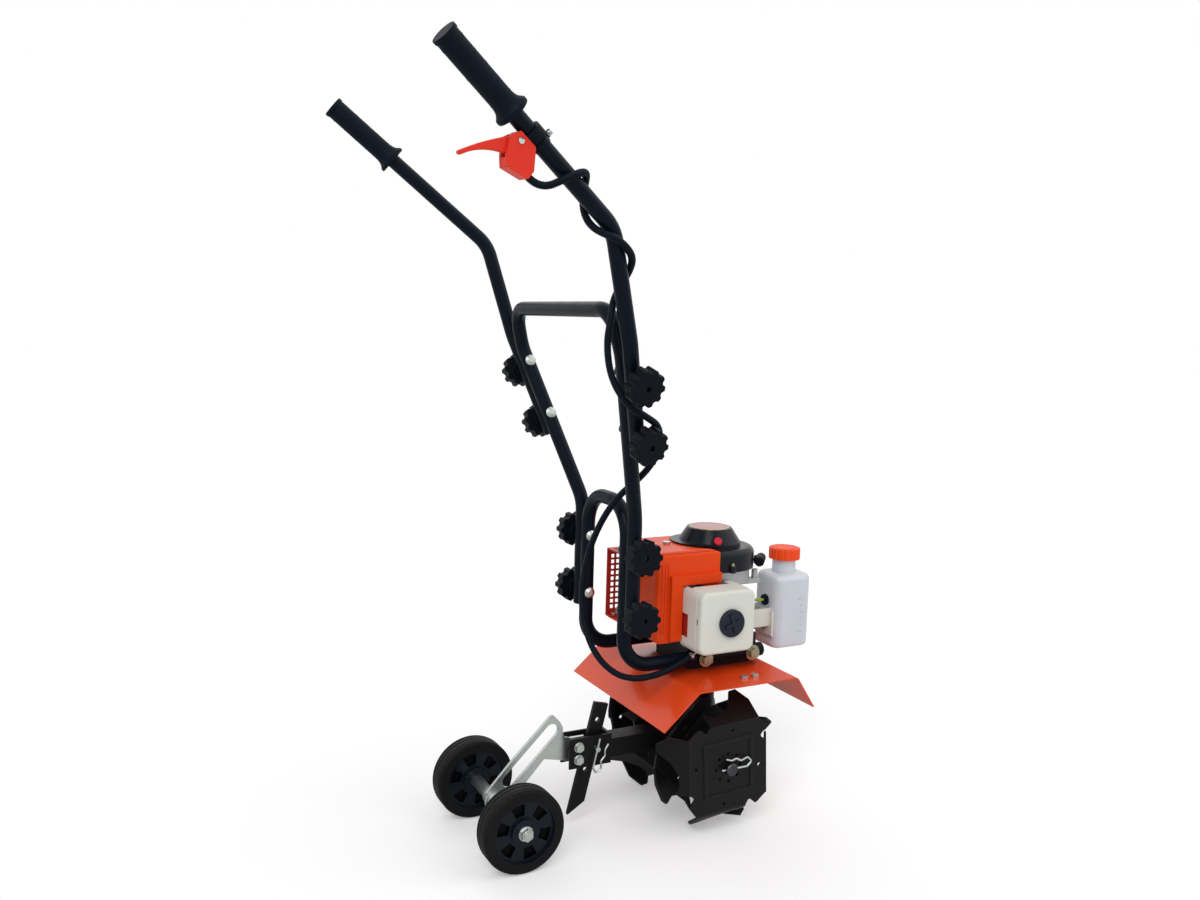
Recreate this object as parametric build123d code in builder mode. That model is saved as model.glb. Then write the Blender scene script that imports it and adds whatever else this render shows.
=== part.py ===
from build123d import *
import os
from math import atan2, cos, degrees, pi, radians, sin, tan

os.makedirs("parts", exist_ok=True)

# Mini tiller: X forward, Y to the machine's left, Z up, the ground at Z 0.
# Lengths fore and aft are measured from the tine axle.

# Stance
axle_x = 161.0
wheel_setback = 337.0
wheel_r = 62.5
wheel_width = 35.0
wheel_half_track = 97.0

# Fits shared by all pieces
seat_gap = 0.2
hole_clear = 0.1
running_clear = 0.05
face_clear = 0.4
pass_through = 1.0

# Frame tubes
tube_r = 11.0
tube_wall = 1.5
leg_setback = 160.0
loop_z = 268.0
loop_top_z = 518.0
loop_elbow_r = 45.0
loop_arch_r = 52.0
loop_front = 92.0
leg_bottom_z = 333.0
lower_bend_z = 501.0
lower_bend_r = 80.0
upper_bend = (-235.0, 170.0, 743.0)
upper_bend_r = 60.0
crossbar_corner = (-250.0, 164.0, 803.0)
crossbar_corner_r = 36.0
handle_knee_rise = 25.0
handle_knee_r = 70.0
handle_bend = (-280.0, 218.0, 904.0)
handle_bend_r = 60.0
grip_end = (-521.0, 256.0, 1101.0)
handle_overlap = 145.0

# Clamps: carriage bolts and star knobs
bolt_r = 4.0
bolt_head_r = 8.5
bolt_head_h = 4.5
upper_bolt_drops = (27.5, 118.0)
lower_bolt_heights = (355.5, 448.3)
knob_r = 27.0
knob_notches = 10
knob_notch_r = 5.0
knob_notch_out = 1.0
knob_lobe_round = 1.5
knob_boss_r = 13.0
knob_boss_h = 9.0
knob_star_h = 20.0
knob_bevel = 1.2
bolt_end_inset = 9.0
flange_bolt_r = 4.0
small_bolt_r = 3.0
small_head_r = 5.0
small_head_h = 4.0
small_nut_r = 6.0
small_nut_h = 4.5
screw_end_gap = 3.0
flange_head_r = 6.5
flange_head_h = 6.0
fender_head_r = 6.0
fender_head_h = 3.5
fender_bolt_tail = 6.0
bracket_head_r = 7.0
bracket_head_h = 5.0
bracket_nut_h = 6.0
bracket_washer_r = 8.0
bracket_bolt_tail = 8.0
spacer_r = 7.5
pin_out = 7.0
pin_nose = 3.0
pin_head_r = 6.5
pin_head_h = 3.0

# Grips
grip_r = 15.2
grip_length = 119.0
grip_cap_r = 16.4
grip_cap_h = 6.0
grip_flange_r = 22.5
grip_flange_h = 5.0
grip_round = 0.8

# Throttle, set out along the right handle from the grip's end and below the tube's centre
lever_pivot = (144.5, 21.0)
lever_thick = 8.0
lever_pin_r = 2.5
housing_thick = 18.0
housing_round = 2.5
lever_round = 1.2
housing_band = (147.0, 163.0)
housing_band_r = 15.0
clamp_at = 169.0
clamp_width = 8.0
clamp_wall = 1.5
clamp_ear_rise = 6.0
clamp_ear_h = 9.0
clamp_ear_width = 7.0
clamp_ear_half = 2.5
pivot_head_r = 4.0
pivot_head_h = 1.5
cable_exit = (180.0, 41.5)
cable_bore_depth = 25.0
conduit_r = 5.0
conduit_bore_r = 3.4
bend_share = 0.45
ferrule_depth = 6.0
ferrule_rim = 5.0
cable_r = 1.5
cable_length = 24.0

# Clutch housing between the tube ends, and its four bolts
clutch_half_width = 53.0
clutch_rear = -36.0
clutch_front = 96.0
clutch_top_z = 290.0
clutch_floor = 10.5
clutch_bore_r = 42.0
clutch_corner_r = 8.0
drum_r = 37.0
drum_wall = 3.0
drum_h = 24.0
drum_lift = 3.0
base_bolt_places = (-19.0, 69.0)
base_bolt_r = 5.0
base_bolt_depth = 18.0
base_washer_r = 12.5
base_washer_h = 2.5
base_head_r = 9.0
base_head_h = 7.0

# Fender sheet
sheet = 2.0
fender_half_width = 151.0
fender_top_z = 245.5
fender_rear = -76.0
fender_front = 104.0
fender_rear_tip = (-136.0, 193.0)
fender_front_tip = (139.0, 193.5)
fender_fold_r = 8.0
fender_hole_r = 13.5
fender_bolt_places = (24.0, 44.0)
fender_bolt_y = 121.0

# Gearbox: vertical worm ahead of the cross axle
gear_module = 1.25
gear_teeth = 34
worm_pitch_r = 6.75
wheel_pitch_r = gear_module * gear_teeth / 2
worm_offset = wheel_pitch_r + worm_pitch_r
worm_root_r = 5.4
worm_tip_r = 8.0
thread_half = 0.7
thread_sink = 0.3
tooth_sink = 0.5
pressure_angle = 20.0
worm_turns = 6
gear_tip_r = 22.2
gear_root_r = 19.6
gear_width = 12.0
worm_length = 24.0
worm_space_above = 12.0
worm_space_below = 6.0
worm_journal_r = 6.0
journal_shoulder = 1.0
shaft_r = 10.0
case_r = 34.0
case_bore_r = 25.5
case_half = 24.0
case_wall = 4.0
case_inner_half = 13.0
case_boss_half = 33.0
bearing_r = 16.0
bearing_width = 12.0
worm_bearing_r = 12.0
worm_bearing_w = 8.0
column_r = 19.0
column_bore_r = 9.5
flange_r = 42.0
flange_h = 8.0
flange_bolt_circle = 66.0
case_screw_circle = 59.0

# Tines
shaft_half = 136.0
shaft_bevel = 1.5
clip_place = 130.5
sleeve_r = 14.0
plate_thick = 4.0
outer_plate_y = 121.0
inner_plate_y = 50.0
plate_side = [(70.0, -58.0), (71.0, 30.0), (60.0, 38.0), (72.0, 50.0)]
plate_round = 4.0
rib_half = 45.0
rib_width = 5.0
rib_height = 2.2
flap_length = 54.0
flap_lean = 35.7
outer_phase = 4.0
inner_phase = 49.0
clip_wire_r = 1.6
clip_bend_r = 3.0
tine_hole_r = 3.2
tine_hole_circle = 44.0
side_hole = (58.0, -9.0)
sleeve_space = 1.5

# Rear arm, drag bar and wheel bracket
arm_face = -40.0
arm_pad_depth = 25.0
arm_foot_half = 27.0
arm_foot_z = (97.0, 141.0)
arm_foot_thick = 6.0
arm_bolt_y = 22.5
arm_bolt_depth = 14.0
arm_half_width = 17.0
arm_wall = 3.5
arm_z = 122.0
arm_half_height = 15.0
clevis_half_height = 24.0
clevis_start = -150.0
clevis_end = -222.0
clevis_lap = 8.0
clevis_web = 5.0
bracket_bolt_x = -207.0
bracket_bolt_pitch = 20.0
bracket_bolt_r = 4.0
bracket_thick = 5.0
bar_pin_x = -179.0
bar_pin_rise = 5.0
bar_lean = 13.8
bar_width = 24.0
bar_thick = 7.0
bar_up = 67.0
bar_down = 115.0
bar_hole_pitch = 40.0
bar_hole_r = 4.0
slot_width = 21.0
bracket_eye_r = 16.5
bracket_round = 4.0
wheel_shaft_r = 6.0
wheel_tube_r = 9.5
bracket_sleeve_r = 12.5
bracket_sleeve_half = 22.0
hub_r = 20.0
rim_r = 46.0
nut_h = 7.0
nut_r = 9.5
washer_h = 1.5
washer_r = 11.0
thread_end = 2.0
tyre_round = 6.0
dish_depth = 5.0
panel_count = 6
panel_sweep = 30.0
panel_depth = 5.0
panel_border = 4.5
groove_r = 1.3

# Engine, standing on its clutch housing with the crankshaft upright
fan_case_r = 57.0
fan_case_top_z = 334.0
crank_case_r = 46.0
crank_case_top_z = 398.0
crank_flange_r = 56.0
crank_flange_z = 376.0
case_skin = 5.0
case_roof = 4.0
crank_room_r = 32.0
crank_room_floor = 6.0
crank_room_roof = 8.0
cylinder_pad_half = 30.0
cylinder_pad_rise = 26.0
crank_r = 7.5
crank_pin_r = 6.0
crank_pin_offset = 12.0
crank_web_r = 26.0
crank_web_thick = 8.0
crank_pin_length = 10.0
flywheel_r = 48.0
flywheel_z = 300.0
flywheel_thick = 10.0
vane_count = 16
vane_circle_r = 34.0
vane_length = 26.0
vane_thick = 2.5
vane_h = 16.0
shoe_gap = 0.9
shoe_h = 12.0
shoe_slit = 3.0
slit_start = 3.5
slit_overrun = 0.4
crank_end_space = 2.0
case_mouth_r = 16.0
boss_start = 70.0
boss_face = 90.0
boss_y = (-30.0, 10.0)
boss_z = (296.0, 336.0)
boss_screws = [(-20.0, 316.0), (0.0, 316.0)]
boss_screw_depth = 12.0
lug_place = (99.0, -31.0)
lug_start = 50.0
lug_half = 7.0
lug_z = (370.0, 378.0)
lug_stud_r = 5.0
lug_stud_length = 22.0
cylinder_z = 362.0
cylinder_r = 25.0
cylinder_bore_r = 22.0
cylinder_head = -76.0
cylinder_foot = -18.0
fin_size = 72.0
fin_count = 7
fin_thick = 2.5
fin_start = 20.0
head_thick = 7.0
foot_thick = 5.0
port_r = 8.0
port_boss_r = 13.0
port_reach = 40.0
exhaust_boss_r = 14.0
exhaust_reach = 42.0
shroud_pad = (-62.0, -42.0)
shroud_pad_half = 8.0
post_place = (-52.0, 0.0)
post_screw_depth = 7.0
post_hole_depth = 10.0
plug_thread_r = 5.0
plug_thread_depth = 9.0
plug_hex_r = 8.0
plug_hex_h = 8.0
plug_stem_r = 4.5
plug_length = 20.0
starter_r = 62.0
starter_reach = 14.0
starter_round = 10.0
dome_round = 2.5
dome_lap = 5.0
dome_flange_h = 2.8
dome_flange_back = 14.0
dome_bore_r = 33.0
dome_roof = 6.0
starter_bore_r = 54.0
starter_bore_h = 30.0
post_r = 7.5
post_lift = 1.5
spout_r = 7.5
spout_start = 44.0
spout_inset = 1.0
rope_hole_clear = 1.5
starter_drum_top_z = 432.0
dome_base_r = 51.0
dome_skirt_z = 439.0
dome_top_r = 36.0
starter_top_z = 461.5
pulley_groove_r = 29.0
pulley_rim_r = 35.0
pulley_z = 406.0
pulley_half = 6.0
pulley_groove_h = 7.0
rope_r = 1.75
rope_grip_depth = 8.0
rope_line_r = 31.0
pull_heading = -40.0
pull_seat = 72.0
pull_neck_r = 7.0
pull_neck_h = 8.0
pull_bar_r = 8.0
pull_bar_length = 40.0
pull_bar_place = 10.0
pull_bar_round = 3.0
button_r = 6.5
button_turn = -107.0
button_z = 444.7
button_tilt = 0.6
button_depth = 12.0
button_rise = 6.5
button_round = 1.5
button_collar = 3.0
button_collar_depth = 8.0
button_collar_h = 9.5
button_bore_half = 30.0
shroud_rear = -104.0
shroud_front = 10.0
shroud_half = 62.0
shroud_bottom_z = 296.0
shroud_top_z = 438.0
shroud_wall = 2.5
shroud_back_wall = 4.0
shroud_round = 9.0
step_z = 300.0
step_top_z = 402.0
step_out = 7.0
step_start = 23.0
step_clear = 0.5
shelf_thick = 3.0
shelf_x = (-98.0, -20.0)
post_boss_r = 6.0
intake_window = ((-58.0, -20.0), (338.0, 386.0))
exhaust_window = ((-84.0, -30.0), (334.0, 390.0))
window_cut = 5.0
starter_space = 2.0
louvre_count = 3
louvre_pitch = 5.5
louvre_start = -97.0
louvre_width = 2.5
louvre_z = (312.0, 420.0)
louvre_depth = 1.2
guard_y = 104.0
guard_wall = 2.5
guard_rear = -102.0
guard_front = -14.0
guard_top_z = 414.0
guard_inner_y = 66.0
guard_foot_depth = 14.0
guard_screws = (-90.0, -28.0)
guard_screw_inset = 7.0
guard_holes = (8, 10)
guard_top_rows = 3
guard_pitch = 9.6
guard_hole = 6.4
muffler_x = (-76.0, -24.0)
muffler_y = (66.0, 97.0)
muffler_z = (322.0, 396.0)
muffler_wall = 2.0
exhaust_place = -56.0
exhaust_r = 9.0
muffler_round = 6.0
muffler_neck_r = 13.0
outlet_r = 5.0
outlet_rise = 14.0

# Air filter and carburettor on the right
filter_rear = -60.0
filter_front = 41.0
filter_bottom_z = 287.0
filter_top_z = 386.0
filter_inner_y = -62.5
filter_split_y = -106.0
filter_face_y = -120.0
filter_wall = 2.5
filter_corner_r = 14.0
filter_face_round = 5.0
cover_inset = 1.0
filter_latch = (3.0, 10.0)
filter_latch_z = 339.0
filter_latch_depth = 1.2
filter_latch_in = 1.0
side_window = ((-84.0, -61.5), (308.0, 345.0))
top_window = ((-52.0, 18.0), (-80.0, -61.5))
element_inset = 2.0
element_front = 8.0
stud_end = 4.5
filter_floor_y = -92.0
filter_stud = (-5.0, 336.0)
filter_stud_r = 3.0
filter_knob_r = 21.5
filter_knob_h = 6.0
filter_knob_round = 1.5
filter_knob_bore = 5.0
finger_bar = (30.0, 5.0)
finger_bar_h = 2.5
finger_bar_turns = (20.0, 110.0)
carb_centre = (-40.0, 362.0)
carb_half = (14.0, 16.0)
carb_round = 3.0
carb_flange_half = (17.0, 19.0)
carb_flange_thick = 6.0
bowl_r = 11.0
bowl_h = 14.0
bowl_drop = 28.0
bowl_y = -75.0
inlet_r = 4.0
inlet_y = -70.5
inlet_length = 12.0
inlet_start = 10.0

# Fuel tank at the front
tank_centre = (174.0, -10.0)
tank_length = 74.0
tank_depth = 66.0
tank_corner_r = 16.0
tank_bottom_z = 254.0
tank_shoulder_z = 378.0
tank_wall = 2.0
neck_r = 19.5
neck_top_z = 412.0
neck_sink = 12.0
shoulder_round = 11.0
foot_round = 7.0
cap_r = 26.0
cap_h = 18.5
cap_bottom_z = 400.0
cap_flutes = 14
cap_flute_r = 3.0
cap_flute_out = 1.8
cap_bevel = 1.0
fuel_port = (-14.0, 333.0)
line_r = 2.5
line_bore_r = 1.5
line_start = 6.0
line_gap = 0.8
grommet_r = 5.0
grommet_rim_r = 9.0
grommet_rim_h = 4.0
grommet_depth = 4.0
bracket_plate = 3.0
bracket_z = (298.0, 334.0)
bracket_web_z = (292.0, 322.0)
bracket_foot_z = (276.0, 318.0)
bracket_foot_out = 8.0
tank_screws = [(-20.0, 290.0), (0.0, 290.0)]
tank_boss_r = 7.0
tank_boss_depth = 12.0
tank_screw_depth = 8.0
tank_screw_length = 10.0

fold_low, fold_high = plate_side[:2]
flap_half = (fold_high[1] - fold_low[1]) / 2
flap_outline = [
    (-flap_half, -3),
    (flap_half, -3),
    (flap_half + 2, flap_length * 0.45),
    (flap_half - 10, flap_length * 0.27),
    (flap_half - 30, flap_length * 0.29),
    (-flap_half + 40, flap_length * 0.54),
    (-flap_half + 26, flap_length * 0.98),
    (-flap_half + 14, flap_length),
    (-flap_half, flap_length * 0.58),
]
fold_edge = (Vector(*fold_high) - Vector(*fold_low)).normalized()
fold_middle = (Vector(*fold_high) + Vector(*fold_low)) / 2
blade_skin = plate_thick / 2 * cos(radians(flap_lean))


def blade_drop(turn, along, reach):
    """How far a corner of a blade lies below the axle."""
    out = reach * sin(radians(flap_lean)) + blade_skin
    radial = fold_middle.X + fold_edge.X * along + fold_edge.Y * out
    across_side = fold_middle.Y + fold_edge.Y * along - fold_edge.X * out
    return -radial * sin(radians(turn)) - across_side * cos(radians(turn))


# The axle's height follows from the lowest corner of the blades, which stands on the ground
axle_z = max(
    blade_drop(phase + 90 * index, along, reach)
    for phase in (outer_phase, inner_phase)
    for index in range(4)
    for along, reach in flap_outline
)
crank_x = axle_x + worm_offset
leg_x = axle_x - leg_setback
loop_half = clutch_half_width + tube_r + seat_gap
middle_half = loop_half + 2 * tube_r + seat_gap
fender_under_z = fender_top_z - sheet
UP = (Align.CENTER, Align.CENTER, Align.MIN)
up = Vector(0, 0, 1)
ahead = Vector(1, 0, 0)
to_right = Vector(0, -1, 0)
RIGHT, LEFT = -1, 1
side_names = {RIGHT: "right", LEFT: "left"}


def at_side(place, side):
    """A place given fore and aft of the tine axle, on one side of the machine."""
    return Vector(axle_x + place[0], side * place[1], place[2])


def side_plane(x, y, z):
    """Upright plane along the machine: local x forward, local y up, normal to the right."""
    return Plane(origin=(x, y, z), x_dir=(1, 0, 0), z_dir=(0, -1, 0))


def rod(start, direction, radius, length, mode=Mode.ADD):
    """Round bar, or round hole, from a point along a direction."""
    with Locations(Plane(origin=start, z_dir=direction)):
        Cylinder(radius, length, align=UP, mode=mode)


def block(x_range, y_range, z_range, mode=Mode.ADD):
    """Box between limits; X is fore and aft of the tine axle."""
    centre = (
        axle_x + sum(x_range) / 2,
        sum(y_range) / 2,
        sum(z_range) / 2,
    )
    with Locations(centre):
        Box(
            abs(x_range[1] - x_range[0]),
            abs(y_range[1] - y_range[0]),
            abs(z_range[1] - z_range[0]),
            mode=mode,
        )


def across(half):
    """Limits that lie evenly to both sides of the middle."""
    return -half, half


def within(limits, wall):
    """Limits moved inwards by a wall."""
    return limits[0] + wall, limits[1] - wall


def save(piece, name):
    piece.part.label = name
    export_step(piece.part, f"parts/{name}.step")


def clamp_frame(side):
    """Upper end of the middle frame's long leg, the way up along it and the way out of it."""
    top = at_side(upper_bend, side)
    low = Vector(leg_x, side * middle_half, lower_bend_z)
    along = (top - low).normalized()
    out = Vector(0, side, 0)
    out = (out - along * out.dot(along)).normalized()
    return top, along, out


def upper_clamps(side):
    """Bolt centres on the middle frame's leg, with the bolt's direction."""
    top, along, out = clamp_frame(side)
    return [(top - along * drop, out) for drop in upper_bolt_drops]


def lower_clamps(side):
    """Bolt centres on the loop's leg, with the bolt's direction."""
    return [(Vector(leg_x, side * loop_half, z), Vector(0, side, 0)) for z in lower_bolt_heights]


def bent_tube(points, radii, drillings):
    """Hollow tube through points, drilled right through at each place and direction."""
    with BuildPart() as tube:
        with BuildLine() as path:
            FilletPolyline(*points, radius=radii)
        with BuildSketch(Plane(origin=path.line @ 0, z_dir=path.line % 0)):
            Circle(tube_r)
            Circle(tube_r - tube_wall, mode=Mode.SUBTRACT)
        sweep(path=path.wire())
        for centre, direction, radius in drillings:
            start = centre - direction * (tube_r + pass_through)
            rod(start, direction, radius, 2 * (tube_r + pass_through), Mode.SUBTRACT)
    return tube


clamp_hole_r = bolt_r + hole_clear
tube_pitch = 2 * tube_r + seat_gap


# Lower loop
loop_points = [
    (axle_x + loop_front, -loop_half, loop_z),
    (leg_x, -loop_half, loop_z),
    (leg_x, -loop_half, loop_top_z),
    (leg_x, loop_half, loop_top_z),
    (leg_x, loop_half, loop_z),
    (axle_x + loop_front, loop_half, loop_z),
]
loop_holes = []
for side in (RIGHT, LEFT):
    loop_holes += [(centre, way, clamp_hole_r) for centre, way in lower_clamps(side)]
    for place in base_bolt_places:
        centre = Vector(axle_x + place, side * loop_half, loop_z)
        loop_holes.append((centre, Vector(0, side, 0), base_bolt_r + hole_clear))
lower_loop = bent_tube(loop_points, [loop_elbow_r, loop_arch_r, loop_arch_r, loop_elbow_r], loop_holes)
save(lower_loop, "lower_loop")


# Middle frame
def middle_side(side):
    return [
        Vector(leg_x, side * middle_half, leg_bottom_z),
        Vector(leg_x, side * middle_half, lower_bend_z),
        at_side(upper_bend, side),
        at_side(crossbar_corner, side),
    ]


middle_holes = []
for side in (RIGHT, LEFT):
    middle_holes += [(centre, way, clamp_hole_r) for centre, way in upper_clamps(side)]
    middle_holes += [(centre + way * tube_pitch, way, clamp_hole_r) for centre, way in lower_clamps(side)]
half_radii = [lower_bend_r, upper_bend_r, crossbar_corner_r]
middle_frame = bent_tube(
    middle_side(RIGHT) + middle_side(LEFT)[::-1],
    half_radii + half_radii[::-1],
    middle_holes,
)
save(middle_frame, "middle_frame")


# Upper handles and their grips
def handle_axis(side):
    """Grip end of the handle, and the way along it towards the bend."""
    end = at_side(grip_end, side)
    return end, (at_side(handle_bend, side) - end).normalized()


for side in (RIGHT, LEFT):
    top, along, out = clamp_frame(side)
    seat = top + out * tube_pitch
    end, way = handle_axis(side)
    handle = bent_tube(
        [
            seat - along * handle_overlap,
            seat + along * handle_knee_rise,
            at_side(handle_bend, side),
            end + way * grip_cap_h,
        ],
        [handle_knee_r, handle_bend_r],
        [(centre + out * tube_pitch, out, clamp_hole_r) for centre, out in upper_clamps(side)],
    )
    save(handle, f"handle_{side_names[side]}")

    with BuildPart() as grip:
        rod(end, way, grip_cap_r, grip_cap_h)
        rod(end, way, grip_r, grip_length)
        rod(end + way * (grip_length - grip_flange_h), way, grip_flange_r, grip_flange_h)
        rims = grip.edges().filter_by(GeomType.CIRCLE)
        fillet(rims.filter_by(lambda edge: edge.radius > grip_r + grip_round), grip_round)
        rod(end + way * grip_cap_h, way, tube_r + running_clear, grip_length, Mode.SUBTRACT)
    save(grip, f"grip_{side_names[side]}")


# Carriage bolts and star knobs
def carriage_bolt(seat, way, length):
    """Domed head inside the seat, shank through both tubes and into the knob."""
    rod(seat, way, bolt_r, length)
    rod(seat, way * -1, bolt_head_r, bolt_head_h / 3)
    with Locations(Plane(origin=seat - way * (bolt_head_h / 3), z_dir=way * -1)):
        Cone(bolt_head_r, bolt_head_r / 2, bolt_head_h * 2 / 3, align=UP)


knob_h = knob_boss_h + knob_star_h
clamp_stack = 2 * tube_pitch + face_clear
bolt_length = clamp_stack + knob_h - bolt_end_inset
all_clamps = {}
for side in (RIGHT, LEFT):
    for level, (low, high) in {"lower": lower_clamps(side), "upper": upper_clamps(side)[::-1]}.items():
        all_clamps[f"{level}_{side_names[side]}_low"] = low
        all_clamps[f"{level}_{side_names[side]}_high"] = high

with BuildPart() as clamp_bolts:
    for centre, way in all_clamps.values():
        carriage_bolt(centre - way * tube_r, way, bolt_length)
save(clamp_bolts, "clamp_bolts")

for place, (centre, way) in all_clamps.items():
    foot = Plane(origin=centre + way * (clamp_stack - tube_r), z_dir=way)
    with BuildPart() as knob:
        with BuildSketch(foot):
            Circle(knob_boss_r)
        extrude(amount=knob_boss_h)
        with BuildSketch(foot.offset(knob_boss_h)) as star:
            Circle(knob_r)
            with PolarLocations(knob_r + knob_notch_out, knob_notches):
                Circle(knob_notch_r, mode=Mode.SUBTRACT)
            fillet(star.vertices(), knob_lobe_round)
        extrude(amount=knob_star_h)
        chamfer(knob.faces().sort_by(Axis(foot.origin, way))[-1].edges(), knob_bevel)
        rod(foot.origin, way, bolt_r + running_clear, knob_h, Mode.SUBTRACT)
    save(knob, f"knob_{place}")


# Throttle housing and lever, in the plane of the right handle
throttle_end, throttle_way = handle_axis(RIGHT)
throttle_out = throttle_way.cross(Vector(0, 0, 1)).normalized()
throttle_plane = Plane(origin=throttle_end, x_dir=throttle_way, z_dir=throttle_out)


def on_throttle(along, below, outward=0.0):
    """Point set out along the handle, below it and to its outer side."""
    return throttle_plane.from_local_coords(Vector(along, -below, outward))


housing_outline = [(137, -12), (164, -12), (180, -35), (180, -48), (150, -57), (140, -46), (130, -26)]
lever_slot = [(120, -20), (141, -12.5), (153, -16), (153, -30), (143, -48), (120, -70)]
with BuildPart() as throttle_housing:
    with BuildSketch(throttle_plane):
        Polygon(*housing_outline, align=None)
    extrude(amount=housing_thick / 2, both=True)
    fillet(throttle_housing.edges().filter_by(Axis(throttle_end, throttle_out)), housing_round)
    rod(on_throttle(housing_band[0], 0), throttle_way, housing_band_r, housing_band[1] - housing_band[0])
    rod(throttle_end, throttle_way, tube_r + hole_clear, 2 * housing_band[1], Mode.SUBTRACT)
    with BuildSketch(throttle_plane):
        Polygon(*lever_slot, align=None)
    extrude(amount=lever_thick / 2 + face_clear, both=True, mode=Mode.SUBTRACT)
    pin_start = on_throttle(*lever_pivot, -housing_thick)
    rod(pin_start, throttle_out, lever_pin_r + hole_clear, 2 * housing_thick, Mode.SUBTRACT)
    cable_start = on_throttle(*cable_exit) - throttle_way * cable_bore_depth
    rod(cable_start, throttle_way, conduit_bore_r, cable_bore_depth + pass_through, Mode.SUBTRACT)
save(throttle_housing, "throttle_housing")

with BuildPart() as throttle_lever:
    with BuildSketch(throttle_plane):
        with BuildLine():
            Spline((139, -16), (117, -46), (96, -83))
            ThreePointArc((96, -83), (96, -87), (100, -87))
            Spline((100, -87), (121, -58), (141, -44))
            Polyline((141, -44), (150, -27), (150, -17.5), (139, -16))
        make_face()
    extrude(amount=lever_thick / 2, both=True)
    fillet(throttle_lever.faces().filter_by(Axis(throttle_end, throttle_out)).edges(), lever_round)
    pin_start = on_throttle(*lever_pivot, -lever_thick)
    rod(pin_start, throttle_out, lever_pin_r + running_clear, 2 * lever_thick, Mode.SUBTRACT)
save(throttle_lever, "throttle_lever")


# Throttle conduit: out of the housing, twice round the right handle, then hanging to the carburettor
exit_straight = 23.0
wrap_start = 217.0
wrap_length = 210.0
wrap_turn = 630.0
wrap_r = conduit_r + tube_r + 3.5
wrap_steps = 14
wrap_ease = 1.25
near_way = Vector(-0.462, -0.887, 0)


def wrap_point(turn_share):
    """Point of the winding round the handle, by its share of the whole turn."""
    end, way = handle_axis(RIGHT)
    bend = at_side(handle_bend, RIGHT)
    top, along, out = clamp_frame(RIGHT)
    knee = top + out * tube_pitch + along * handle_knee_rise
    reach = wrap_start + wrap_length * turn_share**wrap_ease
    straight = (bend - end).length
    if reach < straight:
        centre, run = end + way * reach, way
    else:
        run = (knee - bend).normalized()
        centre = bend + run * (reach - straight)
    near = (near_way - run * near_way.dot(run)).normalized()
    aside = near.cross(run)
    angle = radians(90 + wrap_turn * turn_share)
    return centre + (near * sin(angle) - aside * cos(angle)) * wrap_r


exit_point = on_throttle(*cable_exit) + throttle_way * seat_gap
hanging_points = [
    (-267.0, 184.0, 757.0),
    (-258.0, 182.0, 712.0),
    (-236.0, 190.0, 676.0),
    (-203.0, 187.0, 660.0),
    (-172.0, 168.0, 645.0),
    (-155.0, 141.0, 616.0),
    (-152.0, 118.0, 586.0),
    (-162.0, 94.0, 559.0),
    (-178.0, 66.0, 532.0),
    (-191.0, 38.0, 490.0),
    (-198.0, 12.0, 437.0),
    (-202.0, -1.0, 378.0),
    (-203.0, 14.0, 325.0),
    (-199.0, 47.0, 287.0),
    (-182.0, 77.0, 265.0),
    (-155.0, 88.0, 256.5),
    (-124.0, 89.0, 257.0),
    (-95.0, 87.0, 262.0),
    (-70.0, 84.5, 270.0),
    (-52.0, 82.0, 277.0),
]
conduit_points = [exit_point, exit_point + throttle_way * exit_straight]
conduit_points += [wrap_point(step / wrap_steps) for step in range(wrap_steps + 1)]
conduit_points += [at_side(place, RIGHT) for place in hanging_points]


def cord_radii(points):
    """Bend radius at each inner point, as large as its two runs allow."""
    radii = []
    for before, here, after in zip(points, points[1:], points[2:]):
        turn = (here - before).get_angle(after - here)
        run = min((here - before).length, (after - here).length)
        radii.append(bend_share * run / tan(radians(turn / 2)))
    return radii


with BuildPart() as throttle_conduit:
    with BuildLine() as conduit_path:
        FilletPolyline(*conduit_points, radius=cord_radii(conduit_points))
    with BuildSketch(Plane(origin=conduit_path.line @ 0, z_dir=conduit_path.line % 0)):
        Circle(conduit_r)
        Circle(conduit_bore_r, mode=Mode.SUBTRACT)
    sweep(path=conduit_path.wire())
print("conduit length", round(conduit_path.wire().length, 1))
save(throttle_conduit, "throttle_conduit")


# Fender sheet
def bolt_ring(radius, z):
    """Four bolt places round the crankshaft."""
    return [
        (crank_x + radius * cos(radians(turn)), radius * sin(radians(turn)), z)
        for turn in (45, 135, 225, 315)
    ]


with BuildPart() as fender:
    with BuildSketch(side_plane(axle_x, 0, 0)):
        with BuildLine():
            FilletPolyline(
                fender_rear_tip,
                (fender_rear, fender_top_z),
                (fender_front, fender_top_z),
                fender_front_tip,
                radius=fender_fold_r,
            )
            offset(amount=sheet, side=Side.RIGHT)
        make_face()
    extrude(amount=fender_half_width, both=True)
    drill_z = fender_under_z - pass_through
    drill_depth = sheet + 2 * pass_through
    rod((crank_x, 0, drill_z), (0, 0, 1), fender_hole_r, drill_depth, Mode.SUBTRACT)
    for place in bolt_ring(flange_bolt_circle / 2, drill_z):
        rod(place, (0, 0, 1), flange_bolt_r + hole_clear, drill_depth, Mode.SUBTRACT)
    for x in fender_bolt_places:
        for side in (RIGHT, LEFT):
            place = (axle_x + x, side * fender_bolt_y, drill_z)
            rod(place, (0, 0, 1), small_bolt_r + hole_clear, drill_depth, Mode.SUBTRACT)
save(fender, "fender")


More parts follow.
